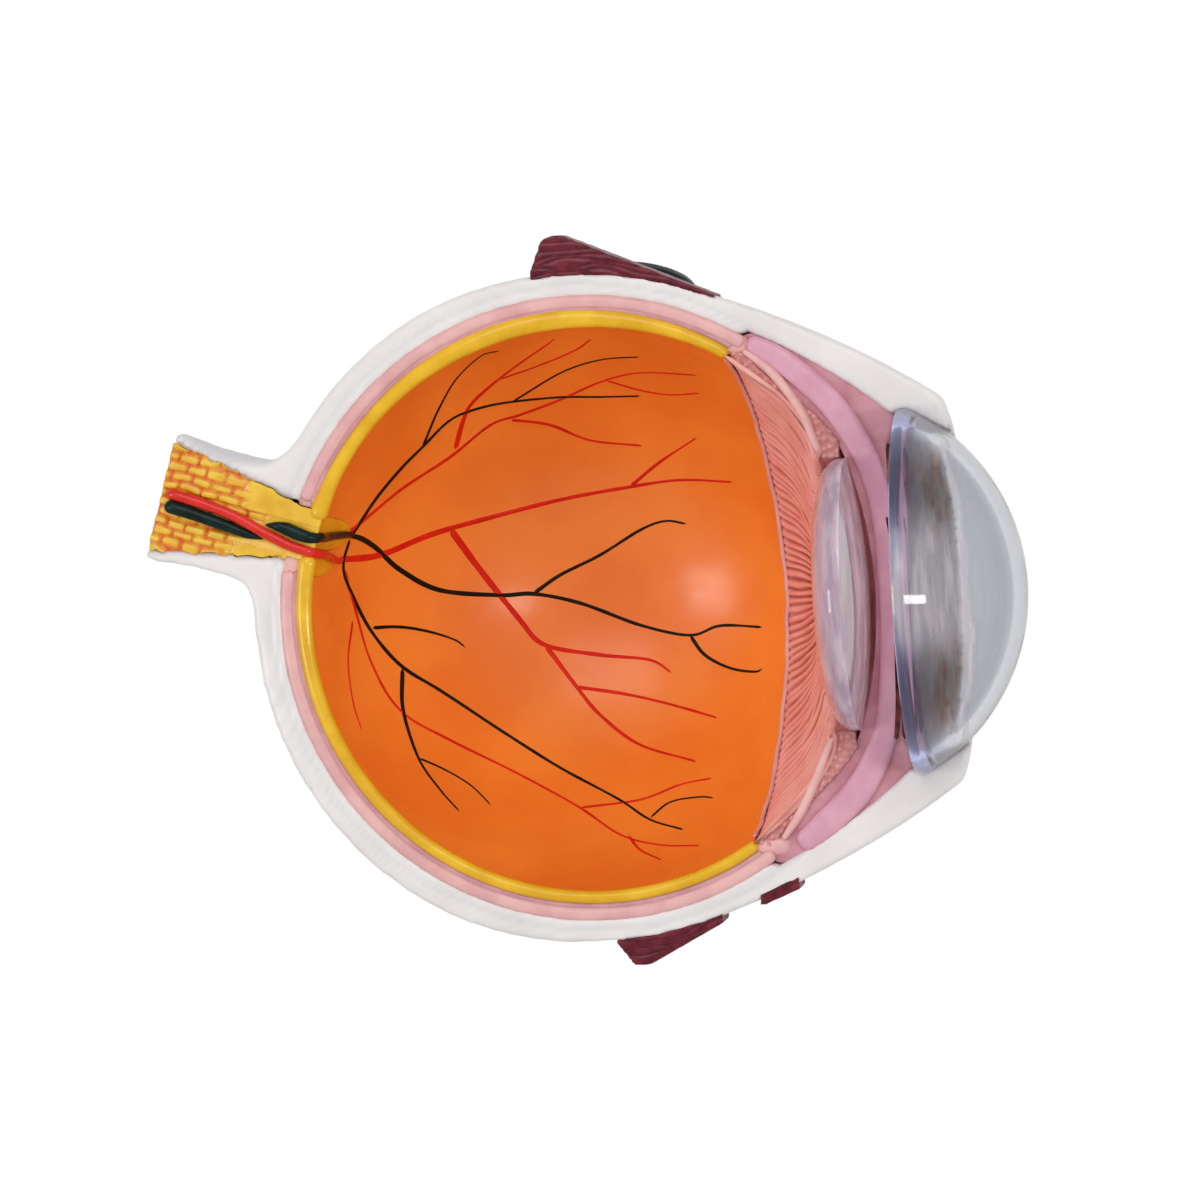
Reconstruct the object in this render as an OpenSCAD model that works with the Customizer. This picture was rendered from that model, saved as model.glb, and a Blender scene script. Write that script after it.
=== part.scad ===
// Half of an enlarged human eye for teaching, opened along the optical axis.
// The optical axis is +X, towards the cornea. The cut face is z = 0 and the shell lies below it.
// The origin is the middle of the eyeball, in the cut face.

/* [Eyeball] */
// Outer radius of the white shell
ball_r = 61.3; // [58:0.1:66]
// Thickness of the white shell
sclera_wall = 3.7; // [3:0.1:4.2]
// Thickness of the pink vascular layer
choroid_wall = 2.8; // [2:0.1:3.2]
// Thickness of the yellow and orange inner layer
retina_wall = 2.3; // [1.8:0.1:3]
// Glue line left between two layers
glue_gap = 0.15; // [0.1:0.05:0.3]
// Angle from the optical axis at which the vascular layer ends
choroid_end = 58.6; // [57.5:0.1:64]
// Angle from the optical axis at which the inner layer ends
retina_end = 60.2; // [59:0.1:66]

/* [Front of the shell] */
// Angle from the optical axis at which the round shell runs into the front cone
shell_blend = 68; // [62:1:72]
// Radius of the front lip's outer corner
lip_r = 34.9; // [34.5:0.1:37]
// Distance of the front lip's outer corner from the middle of the eyeball
lip_x = 66.7; // [65:0.1:67.5]
// Outward swell of the front cone's outline
front_swell = 1.3; // [0:0.1:2.5]

/* [Cornea] */
// Outer radius of the clear dome
dome_r = 38; // [36:0.1:40]
// Wall of the clear dome
dome_wall = 2.6; // [2:0.1:4]
// Radius of the base rim
rim_r = 33.2; // [32.5:0.1:33.6]
// Thickness of the base rim along the axis
rim_t = 1.8; // [1.4:0.1:2.4]
// Position of the base rim's back face
rim_x = 58.8; // [58.4:0.1:60]
// Radius at which the skirt meets the dome
skirt_r = 29.3; // [28:0.1:30]
// Height of the dome's top above the back face of the rim
dome_h = 22; // [20:0.5:24]
// Gap between the clear pieces and their seats
seat_gap = 0.35; // [0.3:0.05:0.5]

/* [Lens] */
// Radius of the lens
lens_r = 25; // [22:0.1:26]
// Bulge of the lens towards the cornea
lens_front = 4.6; // [3:0.1:4.8]
// Bulge of the lens towards the back of the eye
lens_back = 4.8; // [4:0.1:5.2]
// Position of the lens's rim on the axis
lens_x = 47.2; // [46.5:0.1:47.6]

/* [Iris and ciliary body] */
// Width of the raised arch on the cut face
arch_w = 3.9; // [3:0.1:4.2]
// Depth of the step beside the arch
arch_step = 1.2; // [0.6:0.1:2]
// Thickness of the folded ring behind the ciliary muscle
fold_ring_t = 2.2; // [1.5:0.1:2.4]
// Radius of the folded ring's inner edge
fold_ring_r = 21.2; // [18:0.1:22]
// Radius of the pupil's painted disc
pupil_r = 9; // [6:0.5:14]
// Width left clear between the coloured iris disc and the edge of the cornea's rim
iris_inset = 6.2; // [5.2:0.1:11.2]
// Thickness of the iris and pupil discs
iris_t = 0.6; // [0.4:0.1:0.8]

/* [Optic nerve] */
// Tilt of the nerve away from the optical axis
nerve_tilt = 17.8; // [12:0.1:22]
// Distance of the nerve's end face from the middle of the eyeball
nerve_len = 82.4; // [76:0.1:90]
// Radius of the sheath at its end
sheath_end_r = 12; // [11.6:0.1:13]
// Radius of the sheath's neck
sheath_neck_r = 11; // [10.8:0.1:12]
// Radius of the fillet between sheath and ball
sheath_fillet = 8; // [5:0.5:12]
// Radius of the nerve's core at its end
core_end_r = 9.7; // [9:0.1:10.2]
// Radius of the nerve's core where it enters the eyeball
core_disc_r = 4.7; // [4:0.1:5.2]
// Diameter of the artery and of the vein in the nerve
vessel_d = 2.2; // [1.6:0.1:2.6]

/* [Muscles] */
// Height of a muscle stump above the ball
muscle_h = 7.4; // [5:0.1:9]
// Width of a whole muscle stump
muscle_w = 20; // [16:1:22]
// Length of the upper muscle stump with its tendon
upper_len = 34; // [28:1:36]
// Length of the lower muscle stump with its tendon
lower_len = 21.5; // [18:0.5:26]
// Length of the flat that the model rests on
rest_len = 30; // [24:1:36]

/* [Stand socket] */
// Outer radius of the socket
socket_r = 9.7; // [8:0.1:10]
// Radius of the socket's bore
socket_bore_r = 4; // [3:0.1:5]
// Height of the socket above the ball
socket_h = 3.8; // [3:0.1:6]
// Thickness of the shell left under the socket
socket_floor = 0.7; // [0.5:0.1:1]
// Angle of the socket below the cut face
socket_drop = 19.5; // [19:0.5:30]
// Position of the socket along the optical axis
socket_x = 11.5; // [5:0.5:16]

/* [Hidden] */
$fn = 96;

choroid_r = ball_r - sclera_wall;        // inside of the white shell
retina_r = choroid_r - choroid_wall;     // inside of the vascular layer
bowl_r = retina_r - retina_wall;         // inside of the eye
over = 1;                                // overshoot of a cutting tool
arc_step = 5;                            // degrees between the points of an arc

// Points of an arc about a centre on the axis, as [radius, distance]; 0 degrees is the front
function arc(cx, r, a0, a1) =
    let (n = max(2, ceil(abs(a1 - a0) / arc_step)))
    [for (i = [0 : n]) let (a = a0 + (a1 - a0) * i / n) [r * sin(a), cx + r * cos(a)]];
// Points of an arc about any centre
function arc_at(c, r, a0, a1) = [for (p = arc(c[1], r, a0, a1)) [p[0] + c[0], p[1]]];
// Points of a curve from p to q that leaves and arrives along the lines to c
function curve(p, c, q, n = 8) =
    [for (i = [0 : n]) let (t = i / n) (1 - t) * (1 - t) * p + 2 * t * (1 - t) * c + t * t * q];
function turned_round(points) = [for (i = [len(points) - 1 : -1 : 0]) points[i]];
function shifted(points, by) = [for (p = points) p + by];

// Lower half of a shape turned about the optical axis
module half_turn() {
    rotate([0, 90, 0]) rotate([0, 0, -90]) rotate_extrude(angle = 180) children();
}
// Whole shape turned about the optical axis
module full_turn() {
    rotate([0, 90, 0]) rotate_extrude() children();
}
// Turns a piece of the nerve into its place
module along_nerve() {
    rotate([0, 0, 180 - nerve_tilt]) children();
}

// Outside of the white shell, from the blend to the lip
lip_corner = [lip_r, lip_x];
blend_point = ball_r * [sin(shell_blend), cos(shell_blend)];
front_lead = [12.3, -19.5];              // from the lip's corner back along the front cone
front_control = lip_corner + front_lead + [front_swell, 0];
function outer_front(g = 0) = shifted(curve(blend_point, front_control, lip_corner), [g, g / 2]);
// Whole outline of the ball grown by g, for cutting what lies on it
function envelope(g) = concat(
    turned_round(outer_front(g)), arc(0, ball_r + g, shell_blend, 180), [[0, lip_x]]
);

// Cornea: rim, skirt and dome
dome_cx = rim_x + dome_h - dome_r;
skirt_x = dome_cx + sqrt(dome_r * dome_r - skirt_r * skirt_r);
skirt_a = asin(skirt_r / dome_r);
rim_width = 3.2;                         // bearing face of the rim
bore_r = rim_r - rim_width;
iris_r = rim_r - iris_inset;             // radius of the iris disc
dome_in = dome_r - dome_wall;
bore_a = asin(bore_r / dome_in);
rim_round = 0.6;

// Seat of the cornea in the shell
groove_x = rim_x - seat_gap;
groove_r = rim_r + seat_gap;
shoulder_r = rim_r - 1;                  // the rim's edge rests on the shell's shoulder
lip_lap = [-0.8, 1.5];                   // the lip reaches this far over the skirt
lip_tip_r = skirt_r + lip_lap[0] + seat_gap;
lip_tip_x = skirt_x + lip_lap[1];

// Pocket of the iris diaphragm in the shell
pocket_depth = 1.7;                      // cut into the shell's inside
pocket_r = choroid_r + pocket_depth;
pocket_a = 55.5;                         // front end of the round part
pocket_step = 1.2;                       // degrees left clear before the vascular layer
pocket_lead = [9.3, -10];                // from the shoulder back along the front cone
pocket_control = [shoulder_r, groove_x] + pocket_lead;
iris_edge = curve(
    pocket_r * [sin(pocket_a), cos(pocket_a)], pocket_control, [shoulder_r, groove_x]
);

module shell_outline() {
    polygon(concat(
        arc(0, ball_r, 180, shell_blend), outer_front(),
        [[lip_tip_r, lip_tip_x], [skirt_r + seat_gap, skirt_x + seat_gap]],
        [[groove_r, rim_x + rim_t], [groove_r, groove_x]],
        turned_round(iris_edge),
        arc(0, pocket_r, pocket_a, choroid_end - pocket_step),
        arc(0, choroid_r, choroid_end - pocket_step, 180)
    ));
}

// Sheath of the nerve, with its fillet to the ball
fillet_x = sheath_neck_r + sheath_fillet;
fillet_y = sqrt(pow(ball_r + sheath_fillet, 2) - fillet_x * fillet_x);
fillet_a = atan2(fillet_x, fillet_y);
module sheath() {
    root_r = choroid_r + sclera_wall / 2;
    along_nerve() half_turn() polygon(concat(
        arc(0, root_r, 0, fillet_a),
        arc_at([fillet_x, fillet_y], sheath_fillet, 180 + fillet_a, 270),
        [[sheath_neck_r, (fillet_y + nerve_len) / 2], [sheath_end_r, nerve_len], [0, nerve_len]]
    ));
}

// Core of the nerve: narrow in the wall, wide at the cut end
core_back = bowl_r + 0.1;
core_neck = choroid_r - 1;
module core_outline(g, start) {
    polygon([
        [0, start], [core_disc_r + g, start],
        [core_disc_r + g, core_neck], [core_end_r + g, nerve_len + g], [0, nerve_len + g]
    ]);
}
module core_passage() {
    along_nerve() full_turn() core_outline(glue_gap, bowl_r - 2 * over);
}

// Routes of the vessels on the nerve's cut face, as [distance, offset] from the ball's middle
artery_path = [[81.2, 0.7], [74, 0.1], [66, -0.8], [59, -1.8], [52.4, -2.7]];
vein_outer_path = [[81.2, -1.9], [74, -2.6], [67, -3.4], [64.6, -3.7]];
vein_inner_path = [[62, 0.9], [59.4, 0.6], [56, 0.2], [52.4, 0.4]];
vessel_sides = 12;

// A round cord laid along a route in the plane z = 0, of the same width from end to end
module cord(path, d) {
    last = len(path) - 1;
    along = [for (i = [0 : last]) let (run = path[min(i + 1, last)] - path[max(i - 1, 0)]) run / norm(run)];
    points = [for (i = [0 : last], k = [0 : vessel_sides - 1])
        let (a = 360 * (k + 0.5) / vessel_sides, side = [-along[i][1], along[i][0]] * cos(a) * d / 2)
        [path[i][0] + side[0], -path[i][1] - side[1], sin(a) * d / 2]];
    walls = [for (i = [0 : last - 1], k = [0 : vessel_sides - 1])
        let (n = (k + 1) % vessel_sides, row = i * vessel_sides, next = row + vessel_sides)
        each [[row + k, row + n, next + n], [row + k, next + n, next + k]]];
    first_cap = [for (k = [vessel_sides - 1 : -1 : 0]) k];
    last_cap = [for (k = [0 : vessel_sides - 1]) last * vessel_sides + k];
    along_nerve() polyhedron(points, concat(walls, [first_cap, last_cap]));
}

// Trough in the core's cut face that holds both vessels
module vessel_trough() {
    radius = vessel_d / 2;
    spread = 2.6;                        // between the outer sides of the two routes
    margin = 1;
    along_nerve() translate([bowl_r - over, -radius - margin, -radius - glue_gap])
        cube([ball_r, 2 * vessel_d + spread, ball_r]);
}

module boss_place() {
    rotate([-90 - socket_drop, 0, 0]) rotate([0, asin(socket_x / ball_r), 0]) children();
}
socket_base = choroid_r + socket_floor;
socket_top = ball_r + socket_h;
socket_fit = 0.05;                       // play of the socket in its pocket
socket_edge = 1.2;                       // bevel round the socket's top

module sclera_half_shell() {
    color("whitesmoke") difference() {
        union() {
            half_turn() shell_outline();
            sheath();
        }
        core_passage();
        boss_place() translate([0, 0, socket_base]) cylinder(h = ball_r, r = socket_r + socket_fit);
    }
}

// One layer of the wall between two radii, open at the front and round the nerve
module layer(r_out, r_in, end_angle) {
    difference() {
        half_turn() polygon(concat(arc(0, r_out, 180, end_angle), arc(0, r_in, end_angle, 180)));
        core_passage();
    }
}

module choroid_layer() {
    color("lightpink") layer(choroid_r - glue_gap, retina_r, choroid_end);
}

module retina_layer() {
    color("darkorange") layer(retina_r - glue_gap, bowl_r, retina_end);
}

module optic_nerve_core() {
    color("gold") difference() {
        along_nerve() half_turn() core_outline(0, core_back);
        vessel_trough();
    }
}

module central_artery() {
    color("crimson") cord(artery_path, vessel_d);
}

module central_vein() {
    color("darkslategray") {
        cord(vein_outer_path, vessel_d);
        cord(vein_inner_path, vessel_d);
    }
}

// Middle line of the iris diaphragm: a flat cap, a bend and a straight flank
cap_r = 80;
cap_x = 54.4;
cap_a = 17.5;
bend_r = 28;
flank_a = 47;
flank_len = 15;
bend_c = [(cap_r - bend_r) * sin(cap_a), cap_x - cap_r + (cap_r - bend_r) * cos(cap_a)];
flank_end = bend_c + bend_r * [sin(flank_a), cos(flank_a)] + flank_len * [cos(flank_a), -sin(flank_a)];
function flank_tip(off) = flank_end + off * [sin(flank_a), cos(flank_a)];
function arch_line(off) = concat(
    arc(cap_x - cap_r, cap_r + off, 0, cap_a),
    arc_at(bend_c, bend_r + off, cap_a, flank_a),
    [flank_tip(off)]
);
arch_cap = arc_at(flank_end, arch_w / 2, flank_a, flank_a + 180);

module arch_outline() {
    polygon(concat(arch_line(arch_w / 2), arch_cap, turned_round(arch_line(-arch_w / 2))));
}

// Front face of the diaphragm, just behind the cornea
iris_front_x = cap_x + arch_w / 2;
module diaphragm_outline() {
    inset = [-seat_gap, -seat_gap / 2];
    polygon(concat(
        [[0, iris_front_x], [iris_r, iris_front_x]],
        turned_round(shifted(iris_edge, inset)),
        arch_cap, turned_round(arch_line(-arch_w / 2))
    ));
}

module iris_diaphragm() {
    color("plum") {
        difference() {
            half_turn() diaphragm_outline();
            translate([0, -ball_r, -arch_step]) cube([ball_r + over, 2 * ball_r, arch_step + over]);
        }
        intersection() {
            half_turn() arch_outline();
            translate([0, -ball_r, -arch_step]) cube([ball_r + over, 2 * ball_r, arch_step + over]);
        }
    }
}

// Half ring laid on the diaphragm's front face
module front_disc(r_in, r_out) {
    difference() {
        half_turn() translate([r_in, iris_front_x]) square([r_out - r_in, iris_t]);
        translate([iris_front_x - over, -ball_r, -arch_step]) cube([2 * over + iris_t, 2 * ball_r, ball_r]);
    }
}

module iris_disc() {
    color("saddlebrown") front_disc(pupil_r, iris_r);
}

module pupil_disc() {
    color("black") front_disc(0, pupil_r);
}

// Rear face of the ciliary body, from the retina's edge to behind the lens
ora = bowl_r * [sin(retina_end - 0.4), cos(retina_end - 0.4)];
fold_tip = [fold_ring_r, lens_x - 5.8];   // behind the lens's back face
fold_bend = [36, 38];                     // the ring's face leaves both its ends towards this point
fold_line = curve(ora, fold_bend, fold_tip);
// Radius and outline of the lens's seat
lens_seat_r = lens_r + seat_gap;

module ciliary_processes() {
    color("salmon") half_turn() polygon(concat(
        fold_line, turned_round(shifted(fold_line, [0, fold_ring_t]))
    ));
}

module ciliary_muscle() {
    clear = [-glue_gap, -glue_gap];
    wall = 1;                             // least thickness beside the lens
    seat = [lens_x - 2.6, 0.2];           // back end of the lens's seat, and its front above the arch's line
    back = [for (p = shifted(fold_line, [0, fold_ring_t + glue_gap])) if (p[0] > lens_seat_r + wall) p];
    front = [for (p = shifted(arch_line(-arch_w / 2), clear)) if (p[0] > lens_seat_r + wall) p];
    color("lightcoral") half_turn() polygon(concat(
        back, [[lens_seat_r, seat[0]], [lens_seat_r, front[0][1] + seat[1]]], front
    ));
}

module lens() {
    fullness = 2.4;                       // 2 is an ellipse, more is fuller at the rim
    front_r = (lens_r * lens_r + lens_front * lens_front) / (2 * lens_front);
    front_a = asin(lens_r / front_r);
    back_face = [for (i = [0 : 10]) let (a = 9 * i)
        [lens_r * pow(cos(a), 2 / fullness), lens_x - lens_back * pow(sin(a), 2 / fullness)]];
    color("lightsteelblue", 0.5) full_turn() polygon(concat(
        arc(lens_x + lens_front - front_r, front_r, 0, front_a), back_face
    ));
}

module cornea() {
    color("lightblue", 0.4) full_turn() polygon(concat(
        [[bore_r, rim_x], [rim_r - rim_round, rim_x], [rim_r, rim_x + rim_round], [rim_r, rim_x + rim_t]],
        arc(dome_cx, dome_r, skirt_a, 0),
        arc(dome_cx, dome_in, 0, bore_a)
    ));
}

// A muscle stump that lies on the ball: side view with [distance, height] points, width below z = 0
module muscle(points, width) {
    difference() {
        translate([0, 0, -width]) linear_extrude(width) polygon(points);
        half_turn() polygon(envelope(glue_gap));
        translate([0, 0, over]) cube([3 * ball_r, 3 * ball_r, 2 * over], center = true);
    }
}

// Outline of a muscle stump from its back end, as [distance, height above the ball]: a blunt
// rear face, a crest, and a tendon that runs down onto the shell
function stump(back, rise, crest, tendon, root = -8) = shifted([
    [0, rise[0]], rise[1], crest, tendon, [tendon[0], root], [0, root]
], [back, ball_r]);

module upper_rectus_muscle() {
    crest = [5.4, muscle_h];
    color("maroon") muscle(
        stump(-7, [0, [2.6, muscle_h - 1]], crest, [upper_len, -5.6]), muscle_w / 2
    );
}

module lower_rectus_muscle() {
    crest = [7.4, muscle_h - 2.8];
    color("maroon") mirror([0, 1, 0]) muscle(
        stump(0, [-2, [5, muscle_h - 2.6]], crest, [lower_len, -2.6]), muscle_w / 2
    );
}

module outer_rectus_muscle() {
    base = -ball_r - muscle_h;
    rear = -rest_len / 2;
    front = rest_len / 2;
    heel = [rear - 3, 2 - ball_r];        // top of the blunt rear face
    root = [rear, 8 - ball_r];            // inside the ball, cut away
    tendon = [front + 12, 4 - ball_r];
    color("maroon") difference() {
        translate([0, muscle_w / 2, 0]) rotate([90, 0, 0]) linear_extrude(muscle_w) polygon([
            heel, [rear, base], [front, base], tendon, tendon + [-4, 8], root
        ]);
        half_turn() polygon(envelope(glue_gap));
    }
}

module oblique_muscle_tendon() {
    back = ball_r * [0.4666, 0.8923];    // the tendon's two ends lie on the front cone
    front = ball_r * [0.5873, 0.8434];
    thick = 2;
    depth = 4;
    color("maroon") mirror([0, 1, 0]) muscle([
        back + [0, thick], front + [0, thick], front - [0, depth], back - [0, depth]
    ], muscle_w / 2);
}

module stand_socket() {
    color("black") boss_place() difference() {
        union() {
            translate([0, 0, socket_base])
                cylinder(h = socket_top - socket_base - socket_edge, r = socket_r);
            translate([0, 0, socket_top - socket_edge])
                cylinder(h = socket_edge, r1 = socket_r, r2 = socket_r - socket_edge);
        }
        translate([0, 0, ball_r + glue_gap]) cylinder(h = ball_r, r = socket_bore_r);
    }
}

sclera_half_shell();
choroid_layer();
retina_layer();
optic_nerve_core();
central_artery();
central_vein();
ciliary_processes();
ciliary_muscle();
iris_diaphragm();
iris_disc();
pupil_disc();
lens();
cornea();
upper_rectus_muscle();
lower_rectus_muscle();
outer_rectus_muscle();
oblique_muscle_tendon();
stand_socket();
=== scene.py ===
"""Looks of an opened teaching model of the eye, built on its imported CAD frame.

Places are in millimetres in the frame of the CAD: +X runs along the optical axis towards the clear
dome, +Z out of the cut face, and the origin is the middle of the eyeball in the cut face.
"""

import logging
import math
from collections.abc import Callable, Sequence
from dataclasses import dataclass, field
from enum import Enum

import bmesh
import bpy
import numpy as np
from mathutils import Matrix, Vector

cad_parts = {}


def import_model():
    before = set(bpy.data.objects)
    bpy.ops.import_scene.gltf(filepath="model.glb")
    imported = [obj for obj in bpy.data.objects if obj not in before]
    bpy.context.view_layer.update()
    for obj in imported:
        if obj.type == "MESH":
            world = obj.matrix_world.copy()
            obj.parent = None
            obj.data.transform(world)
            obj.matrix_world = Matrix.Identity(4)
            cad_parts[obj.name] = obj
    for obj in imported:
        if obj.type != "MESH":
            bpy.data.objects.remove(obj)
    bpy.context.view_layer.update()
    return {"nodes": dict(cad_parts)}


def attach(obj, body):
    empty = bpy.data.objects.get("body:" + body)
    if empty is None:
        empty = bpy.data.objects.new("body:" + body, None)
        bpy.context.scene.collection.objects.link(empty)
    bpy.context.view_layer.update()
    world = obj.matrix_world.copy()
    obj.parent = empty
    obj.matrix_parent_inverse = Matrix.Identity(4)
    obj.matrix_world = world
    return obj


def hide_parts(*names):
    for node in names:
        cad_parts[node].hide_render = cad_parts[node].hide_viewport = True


MM = 0.001
NERVE_TILT = 17.8  # degrees between the nerve and the optical axis
FRAME_PX = 1200  # side of the picture's frame
SENSOR = 36  # width of the camera's sensor in mm
LOG = logging.getLogger("eye_model")

Array = np.ndarray
Colour = tuple[float, float, float]
Route = Sequence[tuple[float, ...]]


class Body(Enum):
    """Bodies of the frame that the pieces ride on."""

    SHELL = "half_eye"
    LENS = "lens"
    CORNEA = "cornea"


def srgb(red: int, green: int, blue: int) -> Colour:
    """Returns the linear colour of three screen values from 0 to 255."""
    steps = [value / 255 for value in (red, green, blue)]
    linear = [v / 12.92 if v <= 0.04045 else ((v + 0.055) / 1.055) ** 2.4 for v in steps]
    return (linear[0], linear[1], linear[2])


# --------------------------------------------------------------------------------------- finishes


class NodeBench:
    """A new material and short calls for wiring its nodes."""

    def __init__(self, name: str) -> None:
        """Starts a material with one Principled shader.

        Args:
            name: Name of the material.
        """
        self.material = bpy.data.materials.new(name)
        self.material.use_nodes = True
        self.tree = self.material.node_tree
        self.shader = self.tree.nodes["Principled BSDF"]
        self.place = self.add("ShaderNodeTexCoord").outputs["Object"]

    def add(self, kind: str, **settings: object) -> bpy.types.Node:
        """Adds a node.

        Args:
            kind: Type name of the node.
            settings: Attributes of the node to set.

        Returns:
            The new node.
        """
        node = self.tree.nodes.new(kind)
        for key, value in settings.items():
            setattr(node, key, value)
        return node

    def wire(self, source: bpy.types.NodeSocket, target: bpy.types.NodeSocket) -> None:
        """Joins an output to an input."""
        self.tree.links.new(source, target)

    def noise(
        self, size: float, detail: float = 3.0, place: bpy.types.NodeSocket | None = None
    ) -> bpy.types.NodeSocket:
        """Adds a cloudy pattern.

        Args:
            size: Width of a cloud in mm.
            detail: Octaves of finer clouds.
            place: Coordinates to read, or the object's own.

        Returns:
            The pattern's value socket.
        """
        node = self.add("ShaderNodeTexNoise")
        node.inputs["Scale"].default_value = 1 / (size * MM)
        node.inputs["Detail"].default_value = detail
        self.wire(place or self.place, node.inputs["Vector"])
        return node.outputs["Fac"]

    def ramp(
        self, source: bpy.types.NodeSocket, stops: Sequence[tuple[float, Colour]]
    ) -> bpy.types.NodeSocket:
        """Turns a value into a colour.

        Args:
            source: The value.
            stops: Positions from 0 to 1 with their colours.

        Returns:
            The colour socket.
        """
        node = self.add("ShaderNodeValToRGB")
        marks = node.color_ramp.elements
        while len(marks) < len(stops):
            marks.new(0.5)
        for mark, (position, colour) in zip(marks, stops):
            mark.position = position
            mark.color = (*colour, 1)
        self.wire(source, node.inputs["Fac"])
        return node.outputs["Color"]

    def spread(
        self, source: bpy.types.NodeSocket, low: float, high: float,
        start: float = 0.0, end: float = 1.0,
    ) -> bpy.types.NodeSocket:
        """Maps a value from start..end to low..high.

        Args:
            source: The value.
            low: Result at start.
            high: Result at end.
            start: Value that gives low.
            end: Value that gives high.

        Returns:
            The mapped value socket.
        """
        node = self.add("ShaderNodeMapRange")
        for key, value in (("From Min", start), ("From Max", end), ("To Min", low), ("To Max", high)):
            node.inputs[key].default_value = value
        self.wire(source, node.inputs["Value"])
        return node.outputs["Result"]

    def math(
        self, operation: str, first: bpy.types.NodeSocket, second: bpy.types.NodeSocket | float
    ) -> bpy.types.NodeSocket:
        """Adds one sum.

        Args:
            operation: Name of the Math node's operation.
            first: First value.
            second: Second value, a socket or a number.

        Returns:
            The result socket.
        """
        node = self.add("ShaderNodeMath", operation=operation)
        self.wire(first, node.inputs[0])
        if isinstance(second, (int, float)):
            node.inputs[1].default_value = second
        else:
            self.wire(second, node.inputs[1])
        return node.outputs[0]

    def mix(
        self, share: bpy.types.NodeSocket, first: bpy.types.NodeSocket | Colour,
        second: bpy.types.NodeSocket | Colour,
    ) -> bpy.types.NodeSocket:
        """Mixes two colours.

        Args:
            share: Share of the second colour.
            first: First colour, a socket or a constant.
            second: Second colour, a socket or a constant.

        Returns:
            The mixed colour socket.
        """
        node = self.add("ShaderNodeMix", data_type="RGBA")
        self.wire(share, node.inputs["Factor"])
        for index, colour in ((6, first), (7, second)):
            if isinstance(colour, tuple):
                node.inputs[index].default_value = (*colour, 1)
            else:
                self.wire(colour, node.inputs[index])
        return node.outputs[2]

    def mark(self, name: str) -> bpy.types.NodeSocket:
        """Returns the value of a piece's own attribute."""
        return self.add("ShaderNodeAttribute", attribute_name=name).outputs["Fac"]

    def bump(
        self, height: bpy.types.NodeSocket, depth: float,
        base: bpy.types.NodeSocket | None = None,
    ) -> bpy.types.NodeSocket:
        """Adds relief to the shader's normal.

        Args:
            height: Height pattern from 0 to 1.
            depth: Depth of the relief in mm.
            base: Normal of a coarser relief below it.

        Returns:
            The normal socket.
        """
        node = self.add("ShaderNodeBump")
        node.inputs["Distance"].default_value = depth * MM
        node.inputs["Strength"].default_value = 1.0
        self.wire(height, node.inputs["Height"])
        if base:
            self.wire(base, node.inputs["Normal"])
        return node.outputs["Normal"]

    def set(self, **values: object) -> None:
        """Sets constants on the shader's own sockets, with spaces for underscores."""
        for key, value in values.items():
            self.shader.inputs[key.replace("_", " ")].default_value = value


@dataclass(frozen=True)
class BrushedPaint:
    """Hand-brushed paint on cast plastic, clouded, with orange peel and a groove wash.

    The groove wash follows the piece's own "groove" attribute, 0 on the crests and 1 in the depths; on the
    white shell it also paints shade on the sheath's bevel.
    """

    name: str
    light: Colour
    dark: Colour
    cloud: float = 9.0
    gloss: float = 0.35
    peel: float = 0.02
    peel_size: float = 0.9
    wash: Colour | None = None
    coat: float = 0.0
    fleck: float = 0.12
    shine: float = 0.3
    coat_rough: float = 0.12

    def make(self) -> bpy.types.Material:
        """Returns the material."""
        bench = NodeBench(self.name)
        cloud = bench.noise(self.cloud)
        colour = bench.ramp(cloud, [(0.38, self.dark), (0.62, self.light)])
        fleck = bench.spread(bench.noise(0.35, 1.0), 0.0, self.fleck, 0.55, 0.8)
        colour = bench.mix(fleck, colour, self.dark)
        if self.wash:
            colour = bench.mix(bench.mark("groove"), colour, self.wash)
        bench.wire(colour, bench.shader.inputs["Base Color"])
        rough = bench.spread(bench.noise(2.4), self.gloss - 0.06, self.gloss + 0.1, 0.3, 0.7)
        bench.wire(rough, bench.shader.inputs["Roughness"])
        soft = bench.bump(bench.noise(6.0, 2.0), self.peel * 3)
        bench.wire(bench.bump(bench.noise(self.peel_size, 2.0), self.peel, soft),
                   bench.shader.inputs["Normal"])
        bench.set(Coat_Weight=self.coat, Coat_Roughness=self.coat_rough, Specular_IOR_Level=self.shine)
        return bench.material


@dataclass(frozen=True)
class BrickPaint:
    """Yellow paint with a wash in the joints of moulded blocks, fading to plain yellow."""

    name: str = "nerve_yellow_paint"
    face: Colour = srgb(242, 198, 52)
    shade: Colour = srgb(228, 172, 28)
    joint: Colour = srgb(222, 78, 20)

    def make(self) -> bpy.types.Material:
        """Returns the material."""
        bench = NodeBench(self.name)
        colour = bench.ramp(bench.noise(4.0), [(0.35, self.shade), (0.65, self.face)])
        colour = bench.mix(bench.mark("groove"), colour, self.joint)
        bench.wire(colour, bench.shader.inputs["Base Color"])
        bench.wire(bench.spread(bench.noise(1.5), 0.24, 0.4, 0.3, 0.7), bench.shader.inputs["Roughness"])
        bench.wire(bench.bump(bench.noise(0.8, 2.0), 0.05), bench.shader.inputs["Normal"])
        bench.set(Coat_Weight=0.35, Coat_Roughness=0.1)
        return bench.material


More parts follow.
